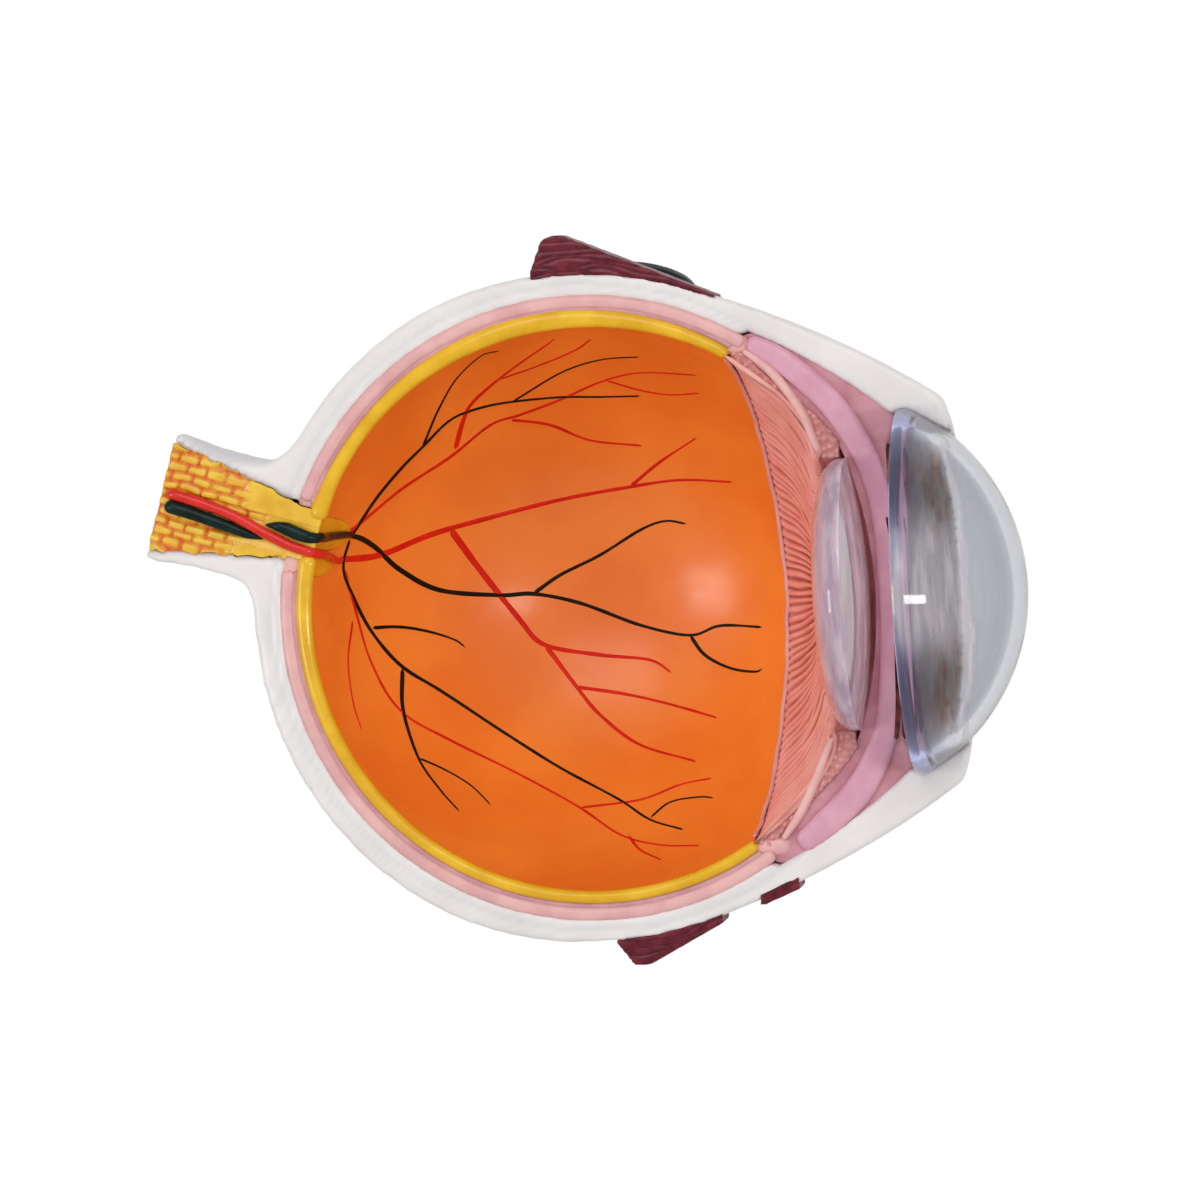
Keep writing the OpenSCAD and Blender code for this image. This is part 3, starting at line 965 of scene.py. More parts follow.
@dataclass
class PaintedVessels:
    """Thin raised lines of paint on the orange bowl, each branch with its widths at both ends."""

    bowl_r: float = 52.5
    proud: float = 0.16
    veins: Sequence[tuple[float, float, Route]] = (
        (1.1, 0.45, ((-46.9, 15.1), (-42.5, 21.7), (-37.8, 27.1), (-33.5, 31.1), (-27.9, 35.9),
                    (-22.5, 37.8), (-16.7, 38.6), (-7.9, 38.9), (-0.4, 38.5), (7.5, 38.2))),
        (0.75, 0.35, ((-33.5, 31.1), (-29.5, 37.6), (-24.7, 43.4), (-19.0, 47.5), (-15.5, 48.3))),
        (0.6, 0.35, ((-16.7, 38.6), (-6.7, 43.5), (1.4, 45.5), (9.2, 45.6))),
        (1.1, 0.5, ((-47.5, 15.6), (-45.7, 14.7), (-43.7, 12.5), (-40.5, 7.9), (-34.3, 3.3),
                    (-23.9, 1.4), (-17.8, 1.2), (-9.1, -1.2), (2.3, -6.1), (12.1, -8.5),
                    (18.3, -6.9), (26.9, -7.4))),
        (0.8, 0.45, ((-17.8, 1.2), (-12.5, 4.5), (-4.6, 7.9), (3.6, 12.3), (8.7, 13.8), (13.0, 13.0))),
        (0.8, 0.45, ((12.1, -8.5), (15.0, -12.4), (20.0, -15.0), (25.1, -15.8), (26.8, -15.1))),
        (1, 0.5, ((-47.0, 14.9), (-48.5, 10.0), (-48.1, 5.1), (-45.7, -2.9), (-41.3, -10.2),
                    (-34.9, -15.7), (-24.3, -24.2), (-13.1, -32.0), (-1.3, -38.5), (4.9, -42.1),
                    (11.7, -43.9))),
        (0.75, 0.4, ((-45.4, -2.6), (-41.2, -3.0), (-36.4, -4.5), (-32.2, -6.5), (-30.4, -8.2))),
        (1.2, 0.45, ((-41.0, -10.8), (-40.7, -18.6), (-37.7, -27.6), (-33.6, -33.7), (-29.8, -38.0))),
        (0.6, 0.35, ((-37.7, -27.6), (-33.2, -30.4), (-28.8, -33.6), (-24.8, -37.6))),
        (0.6, 0.35, ((4.8, -41.8), (8.5, -39.2), (14.4, -38.4), (17.3, -38.6))),
    )
    arteries: Sequence[tuple[float, float, Route]] = (
        (0.8, 0.4, ((-47.5, 15.6), (-38.5, 23.2), (-29.5, 28.8), (-21.5, 34.4), (-15.9, 36.0),
                    (-8.0, 38.4), (0.2, 41.3), (8.3, 42.6), (19.7, 41.5))),
        (1, 0.35, ((-28.4, 30.1), (-25.8, 35.7), (-22.9, 39.4), (-15.3, 44.6), (-5.2, 50.0))),
        (0.6, 0.35, ((-18.1, 42.9), (-9.9, 45.2), (-2.6, 47.6), (1.2, 49.5))),
        (0.7, 0.4, ((-17.8, 35.2), (-10.8, 33.7), (-3.9, 30.3), (6.2, 28.6))),
        (0.5, 0.35, ((1.3, 41.6), (7.6, 39.3), (13.3, 38.1), (19.4, 38.1))),
        (1.1, 0.4, ((-49.0, 11.0), (-43.3, 11.1), (-35.0, 14.1), (-26.1, 16.2), (-11.2, 19.1),
                    (2.5, 20.8), (12.6, 21.6), (23.2, 20.7))),
        (0.7, 0.3, ((2.5, 20.8), (9.0, 25.3), (17.2, 29.7))),
        (1.3, 0.4, ((-31.5, 14.8), (-27.1, 6.6), (-20.5, -3.7), (-16.1, -8.8), (-5.7, -11.4),
                    (4.0, -12.9), (8.3, -15.6))),
        (0.8, 0.4, ((-16.1, -8.8), (-10.6, -16.8), (-5.8, -22.8), (2.0, -28.7), (13.4, -32.2))),
        (0.7, 0.4, ((-10.6, -17.2), (-2.0, -18.9), (5.9, -20.9), (17.5, -24.3))),
        (0.7, 0.4, ((-48.4, 9.0), (-47.9, 3.1), (-45.8, -8.6), (-41.2, -18.5), (-32.9, -25.1),
                    (-20.3, -32.7), (-8.8, -39.4), (-0.6, -44.4), (7.5, -46.3), (15.7, -46.4))),
        (0.6, 0.35, ((-8.8, -39.4), (2.5, -38.6), (10.2, -36.2), (16.8, -35.1))),
        (0.6, 0.35, ((0.9, -44.5), (3.7, -47.0), (8.5, -48.7))),
        (0.6, 0.35, ((-48.1, -0.6), (-48.8, -8.0), (-47.9, -15.4), (-46.2, -21.2))),
    )

    def lines(self, name: str, branches: Sequence[tuple[float, float, Route]],
              sunk: float) -> bpy.types.Object:
        """Lays one colour's branches on the bowl.

        Args:
            name: Name of the piece.
            branches: Widths at both ends and the route of each branch, seen from above.
            sunk: How far in mm this colour lies below the other at crossings.

        Returns:
            The joined branches.
        """
        strips = []
        for first, last, route in branches:
            flat, _ = eased(route, 1.0)
            rest = np.sqrt(np.maximum(self.bowl_r**2 - (flat**2).sum(1), 0.0))
            place = np.column_stack((flat, -rest)) * (1 + sunk / self.bowl_r)
            wavy = 1 + 0.16 * hash_noise(np.arange(len(flat)) * 0.35, np.full(len(flat), first * 7))
            width = np.linspace(first, last, len(flat)) * wavy * (0.95 if sunk == 0 else 1.3)
            strips.append(Bench.bead(name, place, width, [2 * self.proud], inwards, 0.8, 8))
        return Bench.join(strips)

    def build_and_dress(self) -> None:
        """Lays and paints the veins and arteries."""
        black = BrushedPaint("vein_line_paint", srgb(30, 26, 14), srgb(16, 16, 8), 5.0, 0.4, shine=0.12)
        red = BrushedPaint("artery_line_paint", srgb(230, 42, 20), srgb(212, 28, 14), 5.0, 0.4, shine=0.15)
        fit(self.lines("painted_arteries", self.arteries, 0.04), red.make())
        fit(self.lines("painted_veins", self.veins, 0.0), black.make())


@dataclass
class NerveStub:
    """The yellow core with moulded blocks, and the artery and vein that lie in it."""

    tilt: float = NERVE_TILT
    blocks: tuple[float, float] = (3.9, 1.75)
    joint: float = 0.45
    bricks_from: float = 64.5
    bed: float = 0.45
    artery: Route = (
        (81.6, 0.85, 0.1), (79, 0.85, 0.35), (75.7, 0.7, 0.4), (72, 0.4, 0.4), (68.8, 0.0,
            0.4), (65.5, -0.7, 0.45),
        (62.3, -1.6, 0.55), (59, -2.3, 0.4), (56.3, -2.8, 0.3), (53, -3.0, 0.0), (51.6, -3.1, -1.6))
    artery_tail: Route = ((-49.5, 12.4, -6.0), (-49.4, 11.9, -9.6), (-48.4, 10.6, -14.8))
    vein: Route = ((81.6, -1.45, 0.1), (79.5, -1.5, 0.3), (76, -1.65, 0.3), (72, -2.0, 0.25),
                   (68.8, -2.3, 0.2),
                   (65.3, -2.75, 0.1), (61.9, -2.9, -0.1))
    vein_end: Route = ((62.2, -0.2, 0.0), (60.0, 0.1, 0.3), (58, 0.1, 0.35), (55.5, -0.3, 0.35),
                       (53.3, -0.4, 0.1),
                       (51.7, 0.0, -1.5))
    vein_tail: Route = ((-49.2, 15.6, -4.5), (-48.5, 15.7, -8.4), (-47.4, 15.7, -13.4), (-46.3, 15.6, -16.8))
    patches: tuple[tuple[Route, tuple[float, ...]], ...] = (
        (((-50.2, 16.2, 0.0), (-49.4, 16.2, -6.3), (-48.2, 15.9, -12.8), (-47.4, 15.7, -16.0),
          (-46.8, 15.5, -17.9)),
         (7.2, 6.8, 5.6, 4.0, 0.6)),
        (((-51.0, 11.3, 0.0), (-51.0, 10.6, -5.2), (-50.5, 10.2, -9.8), (-49.7, 10.4, -12.8)),
         (3.4, 4.4, 3.6, 0.6)),
    )

    def laid(self, route: Route) -> Route:
        """Turns a route of (distance, offset, height) into the cut face."""
        turn = math.radians(180 - self.tilt)
        return [(d * math.cos(turn) + o * math.sin(turn), d * math.sin(turn) - o * math.cos(turn), h)
                for d, o, h in route]

    def core(self, node: bpy.types.Object) -> bpy.types.Object:
        """Casts the core and moulds its blocks.

        Args:
            node: The frame's core.

        Returns:
            The core.
        """
        piece = Bench.cast("nerve_core", node, 0.26, 2, 0.35)
        places = Bench.places(piece)
        along, across = along_nerve(places[:, 0], places[:, 1], 180 - self.tilt)
        bed = places[:, 2] > -1.6
        fill = np.clip(np.minimum(2.1 - across[bed], across[bed] + 4.9) / 1.6, 0, 1)
        places[bed, 2] *= fill * self.bed / 1.25
        face = np.clip((places[:, 2] + 1.4) / 1.0, 0, 1)
        long, high = self.blocks
        bent = (across + 0.35 * hash_noise(along * 0.28, across * 0.4, 2.0)) / high
        row = np.floor(bent)
        shift = along / long + 0.5 * row + 0.23 * np.sin(row * 12.9) + 0.12 * hash_noise(along * 0.5, row * 3.1)
        column = np.floor(shift)
        corner = 0.75
        from_side = np.maximum(np.abs(bent - row - 0.5) * high - high / 2 + corner, 0)
        from_end = np.maximum(np.abs(shift - column - 0.5) * long - long / 2 + corner, 0)
        inside = corner - np.hypot(from_side, from_end)
        edge = self.bricks_from + 3.0 * hash_noise(row * 1.7, row * 0.6) + 2.5 * (across < 0)
        strength = face * np.clip((along - edge) / 2.5, 0, 1)
        groove = strength * (1 - np.clip(inside / self.joint, 0, 1))
        lift = 0.25 * hash_noise(column * 5.3, row * 7.7) * strength
        places[:, 2] += face * (lift * (1 - groove) - 0.75 * groove**1.3)
        rim = core_half_width(along)
        ragged = 0.3 + 0.35 * hash_noise(along * 0.8, row) * (np.abs(across) > 1)
        push = face * (along > 57) * np.clip((np.abs(across) - rim + 0.8) / 0.6, 0, 1) * ragged
        places[:, :2] += np.outer(push * np.sign(across), (math.sin(math.radians(180 - self.tilt)),
                                                          -math.cos(math.radians(180 - self.tilt))))
        Bench.move(piece, places)
        stain = np.clip(0.85 + 0.5 * hash_noise(along * 0.5, across * 0.5, 5.0), 0, 1)
        Bench.note(piece, "groove", groove * stain)
        return piece

    def build_and_dress(self, nodes: dict[str, bpy.types.Object]) -> None:
        """Makes the core and its vessels and paints them.

        Args:
            nodes: The frame's nodes.
        """
        fit(self.core(nodes["optic_nerve_core"]), BrickPaint().make(), ["optic_nerve_core"])
        red = BrushedPaint("artery_cord_paint", srgb(226, 44, 34), srgb(210, 30, 20), 4.0, 0.2, coat=0.25)
        dark = BrushedPaint("vein_cord_paint", srgb(8, 40, 36), srgb(2, 24, 20), 3.0, 0.22, shine=0.22)
        artery = Bench.bead("artery_cord", [*self.laid(self.artery), *self.artery_tail],
                            [1.9, 2.1, 2.1, 2.0, 2.0, 2.0, 2.0, 2.0, 1.9, 1.9, 1.8, 1.7, 1.6, 1.1],
                            [1.9] * 10 + [1.7, 1.6, 1.4, 0.9], inwards_late, 0.4, 16)
        vein = Bench.bead("vein_cord_outer", self.laid(self.vein), [2.3, 2.5, 2.4, 2.3, 2.1, 1.7, 0.3],
                          [2.0, 2.0, 2.0, 2.0, 1.8, 1.4, 0.4], step=0.4, sides=16)
        end = Bench.bead("vein_cord_inner", [*self.laid(self.vein_end), *self.vein_tail],
                         [0.3, 1.7, 2.4, 2.4, 2.1, 1.8, 1.7, 1.6, 1.5, 1.2],
                         [0.5, 1.8, 1.9, 1.9, 1.8, 1.7, 1.6, 1.5, 1.4, 1.0], inwards_late, 0.4, 16)
        yellow = BrushedPaint("disc_paint", srgb(238, 186, 34), srgb(226, 170, 20), 6.0, 0.3, coat=0.3).make()
        discs = [Bench.bead("yellow_disc", route, widths, [0.5], inwards, 0.6, 16)
                 for route, widths in self.patches]
        fit(Bench.join(discs), yellow)
        fit(artery, red.make(), ["central_artery"])
        fit(Bench.join([vein, end]), dark.make(), ["central_vein"])


@dataclass
class CiliaryBody:
    """The ring of fine folds behind the lens and the dimpled muscle in front of it."""

    bowl_end: float = 58.7
    forward: float = 6.4
    bend: tuple[float, float] = (44.6, 33.0)
    tip: tuple[float, float] = (43.9, 24.6)
    deep_bend: tuple[float, float] = (38.5, 36.0)
    deep_tip: tuple[float, float] = (41.4, 21.4)
    thick: float = 2.2
    rear: float = 0.74
    folds: int = 76

    ridges: tuple[Route, ...] = (
        ((31.3, 45.6, -1.0), (34.5, 43.1, -0.9), (37.6, 39.8, -0.8), (41.4, 33.7, -0.7), (43.5, 27.9, -0.8),
         (44.6, 25.3, -1.6)),
        ((33.3, -44.3, -1.0), (36.5, -40.0, -0.9), (39.5, -34.6, -0.8), (41.4, -30.6, -0.7),
         (43.0, -27.2, -0.8),
         (44.3, -25.2, -1.6)),
    )

    def profile(self, deep: Array, t: Array) -> tuple[Array, Array]:
        """Gives the ring's rear face, which bulges more beside the cut than in the depth.

        Args:
            deep: Shares of the depth, 0 at the cut face and 1 at the deepest place.
            t: Shares from the bowl's edge to the ring's inner edge.

        Returns:
            Places and directions, both as (distance along the axis, radius).
        """
        blend = depth_blend(deep)[:, None]
        share = t[:, None]
        turn = np.radians(self.bowl_end - self.forward * deep**2)
        first = 52.9 * np.column_stack((np.cos(turn), np.sin(turn)))
        pairs = ((self.bend, self.deep_bend), (self.tip, self.deep_tip))
        middle, last = (np.array(cut) * (1 - blend) + np.array(low) * blend for cut, low in pairs)
        line = (1 - share) ** 2 * first + 2 * share * (1 - share) * middle + share**2 * last
        run = (1 - share) * (middle - first) + share * (last - middle)
        return line, run / np.linalg.norm(run, axis=1)[:, None]

    def folded_ring(self) -> bpy.types.Object:
        """Makes the folded ring as one wrapped grid.

        Returns:
            The ring.
        """
        groove_store: list[Array] = []

        def shape(u: Array, v: Array) -> Array:
            """Wraps the grid into half a ring with radial folds on its rear face."""
            turn = np.pi * u
            t = np.clip(np.where(v < self.rear, v / self.rear, (0.98 - v) / (0.96 - self.rear)), 0, 1)
            rear = v < self.rear
            line, run = self.profile(np.sin(turn), t)
            lane = u * self.folds
            phase = lane + 0.22 * hash_noise(lane * 0.5, t * 3) + 0.3 * hash_noise(lane * 0.31, t)
            cell = np.floor(phase)
            crest = np.abs(2 * (phase - cell) - 1)
            strength = np.clip(t / 0.16, 0, 1) ** 0.7 * np.clip((1.03 - t) / 0.1, 0, 1)
            strength *= 0.8 + 0.2 * hash_noise(cell * 1.7, t * 4)
            height = 1.5 * (1 - crest**2.5) * strength
            ends = np.clip(np.minimum((v - self.rear) / 0.04, (1 - v) / 0.02), 0, 1)
            front = line[:, 0] + self.thick * ends * np.clip(0.3 + 2 * np.sin(turn), 0, 1)
            x = np.where(rear, line[:, 0] - height * np.abs(run[:, 1]), front)
            ring = np.where(rear, line[:, 1] - height * run[:, 0] * 0.6, line[:, 1])
            wash = np.clip((crest - 0.42) / 0.4, 0, 1) ** 1.2 * strength * np.clip((t - 0.1) / 0.5, 0.6, 1)
            groove_store.append(np.where(rear, wash, 0))
            return np.column_stack((x, ring * np.cos(turn), -ring * np.sin(turn)))

        bpy.ops.object.select_all(action="DESELECT")
        bpy.ops.mesh.primitive_grid_add(x_subdivisions=self.folds * 12, y_subdivisions=36, size=1)
        piece = Bench.name("ciliary_folds")
        flat = Bench.places(piece) * MM + 0.5
        Bench.move(piece, shape(flat[:, 0], flat[:, 1]))
        Bench.note(piece, "groove", groove_store[0])
        Bench.close(piece)
        return piece

    def muscle(self, node: bpy.types.Object) -> bpy.types.Object:
        """Casts the muscle with pimples on its cut faces.

        Args:
            node: The frame's muscle.

        Returns:
            The muscle.
        """
        piece = Bench.cast("ciliary_muscle_block", node, 0.34, 2, 0.45)
        places = Bench.places(piece)
        ring = np.hypot(places[:, 1], places[:, 2])
        deep = -places[:, 2] / ring
        steps = np.linspace(0, 1, 60)
        cut, low = (self.profile(np.full(60, end), steps)[0][::-1] for end in (0.0, 1.0))
        blend = depth_blend(deep)
        rear = np.interp(ring, cut[:, 1], cut[:, 0]) * (1 - blend) + np.interp(ring, low[:, 1],
            low[:, 0]) * blend
        forward = np.clip((places[:, 2] + 7) / 3, 0, 1) * np.clip((places[:, 0] - rear - 2.5) / 1.5, 0, 1)
        places[:, 0] = np.maximum(places[:, 0], rear + 0.2 + 0.7 * blend) + 1.1 * forward
        rng = np.random.default_rng(7)
        height = np.zeros(len(places))
        on_face = places[:, 2] > -0.7
        low, high = places[on_face].min(0), places[on_face].max(0)
        for side in (-1, 1):
            count = 0
            kept: list[Array] = []
            while count < 9000 and len(kept) < 230:
                count += 1
                spot = np.array([rng.uniform(low[0], high[0]), side * rng.uniform(25, high[1])])
                if all(np.hypot(*(spot - other)) > 1.15 for other in kept):
                    kept.append(spot)
            for spot in kept:
                away = np.hypot(places[:, 0] - spot[0], places[:, 1] - spot[1])
                height = np.maximum(height, np.exp(-((away / 0.42) ** 2)))
        places[:, 2] += np.where(on_face, -0.75 + 0.85 * height, 0)
        Bench.move(piece, places)
        Bench.note(piece, "groove", np.where(on_face, 0.7 * (1 - height), 0))
        return piece

    def build_and_dress(self, nodes: dict[str, bpy.types.Object]) -> None:
        """Makes and paints both pieces.

        Args:
            nodes: The frame's nodes.
        """
        fringe = BrushedPaint("fringe_paint", srgb(248, 182, 170), srgb(240, 163, 152), 6.0, 0.34,
                              wash=srgb(168, 38, 40), coat=0.2)
        muscle = BrushedPaint("ciliary_muscle_paint", srgb(236, 174, 168), srgb(222, 154, 150), 4.0, 0.36,
                              wash=srgb(184, 104, 102), coat=0.15)
        pale = BrushedPaint("ridge_paint", srgb(240, 190, 184), srgb(230, 174, 168), 5.0, 0.34,
                            coat=0.2).make()
        fit(self.folded_ring(), fringe.make(), ["ciliary_processes"])
        for index, route in enumerate(self.ridges):
            name = f"pale_ridge_{index + 1}"
            fit(Bench.bead(name, route, [1.2, 1.8, 1.9, 1.8, 1.6, 1.4], [2.4], step=0.4), pale)
        fit(self.muscle(nodes["ciliary_muscle"]), muscle.make(), ["ciliary_muscle"])


@dataclass
class IrisDiaphragm:
    """The wall that carries the iris, with the raised pink arch on its cut face."""

    arch_w: tuple[float, ...] = (3.2, 4.2, 4.6, 4.8, 4.7, 4.4, 4.1, 3.9, 4.0, 4.3, 4.9, 5.4, 5.2, 3.8)
    step: float = 1.2
    arch: Route = (
        (32.0, 47.2), (36.4, 44.7), (40.9, 41.1), (46.9, 34.9), (51.1, 28.2), (53.6, 21.9), (55.1, 13.9),
        (55.5, 0.6), (55.1, -11.6), (54.1, -22.0), (52.0, -28.9), (47.8, -35.9), (41.5, -41.7), (36.2, -45.7))
    strip: Route = ((55.9, 14), (56.7, 8.6), (56.8, 2), (56.6, -5.5), (56.4, -13), (56.1, -20.3), (55.3, -27))

    def build_and_dress(self, nodes: dict[str, bpy.types.Object]) -> None:
        """Casts the wall, lays the arch and paints them, with the iris and pupil discs.

        Args:
            nodes: The frame's nodes.
        """
        wall = Bench.cast("iris_wall", nodes["iris_diaphragm"], 0.55, 3, 0.45)
        places = Bench.places(wall)
        high = places[:, 2] > -self.step
        places[high, 2] = -self.step + (places[high, 2] + self.step) * 0.1
        places[:, 0] += 1.0 * np.clip((places[:, 2] + 7) / 3, 0,
                                      1) * np.clip((55.5 - places[:, 0]) / 1.5, 0, 1)
        Bench.move(wall, places)
        route = [(x, y, -self.step) for x, y in self.arch]
        arch = Bench.bead("pink_arch", route, self.arch_w, [3.2], sides=24, fullness=3.0, step=0.6)
        strip = Bench.bead("rust_strip", [(x, y, 0.1) for x, y in self.strip],
                           [0.6, 1.0, 1.2, 1.3, 1.4, 1.2, 0.7], [0.9])
        rust = BrushedPaint("rust_paint", srgb(112, 62, 56), srgb(40, 20, 22), 2.6, 0.6, 0.15, 0.8,
                            shine=0.15)
        fit(strip, rust.make())
        pink = BrushedPaint("arch_paint", srgb(226, 168, 186), srgb(216, 154, 175), 7.0, 0.34, coat=0.2)
        mauve = BrushedPaint("mauve_paint", srgb(208, 148, 158), srgb(188, 124, 136), 6.0, 0.4)
        black = BrushedPaint("pupil_paint", srgb(22, 18, 20), srgb(12, 10, 12), 5.0, 0.6, shine=0.05)
        fit(wall, mauve.make(), ["iris_diaphragm"])
        fit(arch, pink.make())
        for name, finish in (("iris_disc", IrisPaint().make()), ("pupil_disc", black.make())):
            node = nodes[name]
            node.data.materials.clear()
            node.data.materials.append(finish)
            LOG.info("%s keeps its frame mesh", name)


@dataclass
class ClearPieces:
    """The lens and the clear dome with its skirt and rim."""

    lens_r: float = 24.9
    lens_x: float = 49.1
    front: float = 2.7
    back: float = 6.6

    def lens(self) -> bpy.types.Object:
        """Turns the lens, with a fine seam round its rim.

        Returns:
            The lens.
        """
        radius = (self.lens_r**2 + self.front**2) / (2 * self.front)
        reach = math.degrees(math.asin(self.lens_r / radius))
        face = arc(self.lens_x + self.front - radius, radius, 0, reach, 30)
        turn = np.radians(np.linspace(0, 90, 30)[1:])
        back = np.column_stack((self.lens_x - self.back * np.sin(turn) ** (2 / 3.0),
                                self.lens_r * np.cos(turn) ** (2 / 3.0)))
        back[-1, 1] = 0
        piece = Bench.turned("lens_body", np.vstack((face, back)), 160, half=False)
        places = Bench.places(piece)
        radius_at = np.hypot(places[:, 1], places[:, 2])
        Bench.note(piece, "tint", np.clip((radius_at - 17) / 8, 0, 1) ** 1.5)
        # Painted highlight: milky white streaks all over, strongest towards the front of the lens.
        Bench.note(piece, "painted_sheen", 0.5 + 0.5 * np.clip((places[:, 0] - 47) / 3, 0, 1))
        return piece

    def dome(self) -> bpy.types.Object:
        """Turns the dome with its skirt and rim.

        Returns:
            The dome.
        """
        rim_x, rim_t, rim_r, skirt_r, dome_r, wall, height = 58.8, 1.8, 33.18, 29.3, 38.0, 2.6, 22.0
        centre = rim_x + height - dome_r
        bore = rim_r - 3.2
        outside = arc(centre, dome_r, 0, math.degrees(math.asin(skirt_r / dome_r)), 60)
        rim = np.array([(rim_x + rim_t + 0.5, rim_r - 0.1), (rim_x + rim_t, rim_r), (rim_x + 0.7, rim_r),
                        (rim_x + 0.2, rim_r - 0.2), (rim_x, rim_r - 0.7), (rim_x, bore + 0.3),
                        (rim_x + 0.3, bore)])
        inside = arc(centre, dome_r - wall, math.degrees(math.asin(bore / (dome_r - wall))), 0, 60)
        outline = np.vstack((outside, rim, inside))
        outline[0, 1] = outline[-1, 1] = 0
        piece = Bench.turned("clear_dome", outline, 192, half=False)
        places = Bench.places(piece)
        Bench.note(piece, "tint", np.clip((62.4 - places[:, 0]) / 2, 0, 1))
        # Painted highlight: a milky white sheen over the middle and a bright line along its edge, placed as the
        # camera sees them.
        x, y, z = places.T
        seen_x = x - 0.146 * z
        line = 68.4 - 0.0042 * y**2 + 0.5 * hash_noise(y * 0.28, y * 0, 3.0)
        middle = np.exp(-(((y - 2) / 12) ** 4))
        painted_sheen = np.clip((line - seen_x) / 0.5, 0, 1) * (0.05 + 0.95 * middle)
        painted_sheen = np.maximum(painted_sheen, np.exp(-(((seen_x - line) / 0.5) ** 2)))
        Bench.note(piece, "painted_sheen", painted_sheen * (z > 4) * (np.abs(y) < 27))
        # Painted brown above and below the middle, where the iris shows through the dome.
        iris_show_through = np.clip((line - 0.8 - seen_x) / 1.5, 0, 1) * (1 - middle) * np.clip((27 - np.abs(y)) / 3, 0, 1)
        Bench.note(piece, "iris_show_through", iris_show_through * (z > 4) * np.clip((seen_x - 60.5) / 1.5, 0, 1))
        return piece

    def build_and_dress(self) -> None:
        """Makes both pieces in tinted clear resin."""
        # The second colour of each resin is its painted edge shade, the fifth its painted highlight.
        lens_resin = ClearResin("lens_resin", srgb(255, 244, 248), srgb(236, 208, 222), srgb(226, 204, 238),
                                srgb(255, 236, 240), 0.13, 0.75, 0.03)
        dome_resin = ClearResin("dome_resin", srgb(222, 224, 227), srgb(178, 181, 190), srgb(174, 181, 229),
                                srgb(232, 224, 229), 0.0, 0.45, 0.03)
        fit(self.lens(), lens_resin.make(), ["lens"], Body.LENS)
        fit(self.dome(), dome_resin.make(), ["cornea"], Body.CORNEA)


@dataclass
class MuscleStumps:
    """The maroon muscle stumps with their long ribs."""

    ball_r: float = 61.3
    rib: float = 1.0
    depth: float = 0.22
    flat_z: float = -68.3
    sunk: str = "oblique_stump"
    sunk_by: float = 0.6
    stumps: tuple[tuple[str, str], ...] = (
        ("upper_stump", "upper_rectus_muscle"), ("lower_stump", "lower_rectus_muscle"),
        ("outer_stump", "outer_rectus_muscle"), ("oblique_stump", "oblique_muscle_tendon"),
    )

    def build_and_dress(self, nodes: dict[str, bpy.types.Object]) -> None:
        """Casts, ribs and paints the stumps.

        Args:
            nodes: The frame's nodes.
        """
        paint = BrushedPaint("maroon_paint", srgb(122, 36, 50), srgb(92, 20, 34), 3.0, 0.3,
                             wash=srgb(58, 8, 20), coat=0.3, shine=0.15).make()
        for name, node in self.stumps:
            piece = Bench.cast(name, nodes[node], 0.3, 8, 0.35)
            places = Bench.places(piece)
            if name == self.sunk:
                places[:, 1] += self.sunk_by
            x, y, z = places.T
            inner = np.sqrt((places**2).sum(1)) - self.ball_r
            turn = np.arctan2(z, y) * self.ball_r
            phase = inner / self.rib + turn / 1.7 + 0.9 * hash_noise(x * 0.15, turn * 0.2 + inner * 0.7)
            wave = np.abs(2 * (phase - np.floor(phase)) - 1)
            low = 1 - wave**0.7
            on_flat = z < self.flat_z
            push = np.where(on_flat, 0, -self.depth * (1 - wave))
            places += Bench.normals(piece) * push[:, None]
            Bench.move(piece, places)
            Bench.note(piece, "groove", np.where(on_flat, 0, low**2))
            fit(piece, paint, [node])


@dataclass
class StandSocket:
    """The round black socket for a stand."""

    def build_and_dress(self, nodes: dict[str, bpy.types.Object]) -> None:
        """Casts and finishes the socket.

        Args:
            nodes: The frame's nodes.
        """
        piece = Bench.cast("socket", nodes["stand_socket"], 0.3, 3)
        black = BrushedPaint("socket_plastic", srgb(22, 20, 24), srgb(12, 10, 13), 6.0, 0.3, 0.02, 0.6)
        fit(piece, black.make(), ["stand_socket"])


# ----------------------------------------------------------------------------------------- studio


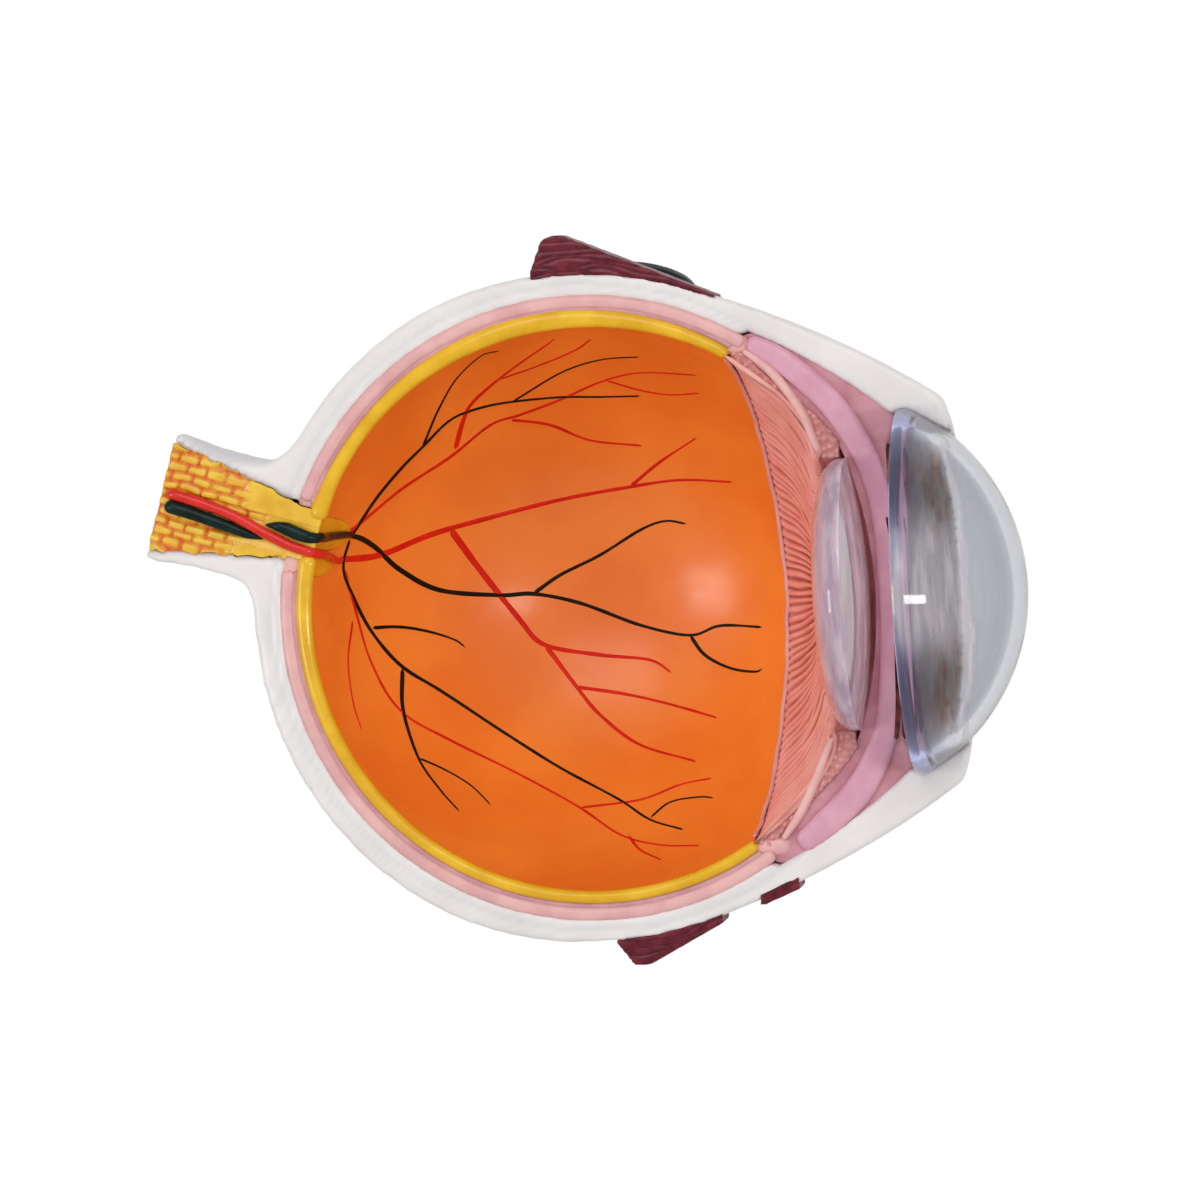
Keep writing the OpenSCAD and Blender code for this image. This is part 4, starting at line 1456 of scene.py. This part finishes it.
@dataclass
class Studio:
    """The camera, the lamps and the white ground."""

    yaw: float = 8.3
    lift: float = 2.5
    roll: float = -3.52
    distance: float = 950.0
    scale: float = 5.4475
    aim: tuple[float, float, float] = (2.37, 1.47, 0.0)
    floor_z: float = -68.7
    floor_shade: float = 0.86
    floor_glow: float = 1.06
    glow_share: float = 0.9
    world_in_gloss: float = 0.55

    def camera(self) -> None:
        """Places the camera of the photograph."""
        yaw, lift = math.radians(self.yaw), math.radians(self.lift)
        out = Vector((math.sin(yaw), math.sin(lift), 0))
        out.z = math.sqrt(1 - out.length_squared)
        across = Vector((0, 1, 0)).cross(out).normalized()
        upward = out.cross(across)
        axes = Matrix((across, upward, out)).transposed().to_4x4()
        place = Matrix.Translation((Vector(self.aim) + out * self.distance) * MM)
        data = bpy.data.cameras.new("photo_camera")
        data.sensor_width = SENSOR
        data.lens = self.scale * self.distance / FRAME_PX * SENSOR
        data.clip_start = 0.05
        data.clip_end = 50
        camera = bpy.data.objects.new("photo_camera", data)
        bpy.context.scene.collection.objects.link(camera)
        camera.matrix_world = place @ axes @ Matrix.Rotation(math.radians(self.roll), 4, "Z")
        bpy.context.scene.camera = camera

    def lamp(self, name: str, place: tuple[float, float, float], size: tuple[float, float],
             power: float) -> None:
        """Hangs a softbox that faces the model.

        Args:
            name: Name of the lamp.
            place: Its place in mm.
            size: Its width and height in mm.
            power: Its power in watts.
        """
        data = bpy.data.lights.new(name, "AREA")
        data.shape = "RECTANGLE"
        data.size, data.size_y = size[0] * MM, size[1] * MM
        data.energy = power
        lamp = bpy.data.objects.new(name, data)
        bpy.context.scene.collection.objects.link(lamp)
        lamp.location = Vector(place) * MM
        lamp.rotation_euler = (-lamp.location).to_track_quat("-Z", "Y").to_euler()

    def seen_white(self, tree: bpy.types.NodeTree) -> bpy.types.NodeSocket:
        """Returns a value that is 1 for what the camera sees, directly or through clear resin."""
        path = tree.nodes.new("ShaderNodeLightPath")
        either = tree.nodes.new("ShaderNodeMath")
        either.operation = "MAXIMUM"
        tree.links.new(path.outputs["Is Camera Ray"], either.inputs[0])
        tree.links.new(path.outputs["Is Transmission Ray"], either.inputs[1])
        return either.outputs[0]

    def ground(self) -> None:
        """Lays the white ground and the white surroundings."""
        bpy.ops.object.select_all(action="DESELECT")
        bpy.ops.mesh.primitive_plane_add(size=6, location=(0, 0, self.floor_z * MM))
        floor = Bench.name("floor")
        material = bpy.data.materials.new("floor_white")
        material.use_nodes = True
        tree = material.node_tree
        tree.nodes["Principled BSDF"].inputs["Base Color"].default_value = (
            *[self.floor_shade] * 3, 1)
        tree.nodes["Principled BSDF"].inputs["Roughness"].default_value = 0.9
        glow = tree.nodes.new("ShaderNodeEmission")
        glow.inputs["Strength"].default_value = self.floor_glow
        mix = tree.nodes.new("ShaderNodeMixShader")
        share = tree.nodes.new("ShaderNodeMath")
        share.operation = "MULTIPLY"
        share.inputs[1].default_value = self.glow_share
        tree.links.new(self.seen_white(tree), share.inputs[0])
        tree.links.new(share.outputs[0], mix.inputs[0])
        tree.links.new(tree.nodes["Principled BSDF"].outputs[0], mix.inputs[1])
        tree.links.new(glow.outputs[0], mix.inputs[2])
        tree.links.new(mix.outputs[0], tree.nodes["Material Output"].inputs[0])
        floor.data.materials.append(material)
        world = bpy.data.worlds.new("studio")
        bpy.context.scene.world = world
        world.use_nodes = True
        tree = world.node_tree
        strength = tree.nodes.new("ShaderNodeMapRange")
        strength.inputs["To Min"].default_value = self.world_in_gloss
        strength.inputs["To Max"].default_value = 1.0
        tree.links.new(self.seen_white(tree), strength.inputs["Value"])
        tree.links.new(strength.outputs[0], tree.nodes["Background"].inputs["Strength"])
        tree.nodes["Background"].inputs["Color"].default_value = (1, 1, 1, 1)

    def build(self) -> None:
        """Sets up the whole studio."""
        self.camera()
        self.lamp("softbox_right", (640, -40, 650), (70, 420), 1.5)
        self.lamp("softbox_left", (-640, -40, 640), (260, 300), 1.6)
        self.lamp("top_fill", (0, 500, 900), (700, 500), 2.4)
        self.ground()
        bpy.context.scene.view_settings.view_transform = "Standard"


def main() -> None:
    """Builds the eye model on its frame and reports each piece."""
    logging.basicConfig(level=logging.INFO, format="%(message)s")
    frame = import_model()
    nodes = frame["nodes"]
    Studio().build()
    shell = WhiteShell()
    shell.dress(shell.build(nodes))
    layers = WallLayers()
    layers.build()
    layers.dress()
    PaintedVessels().build_and_dress()
    NerveStub().build_and_dress(nodes)
    CiliaryBody().build_and_dress(nodes)
    IrisDiaphragm().build_and_dress(nodes)
    ClearPieces().build_and_dress()
    MuscleStumps().build_and_dress(nodes)
    StandSocket().build_and_dress(nodes)


if __name__ == "__main__":
    main()
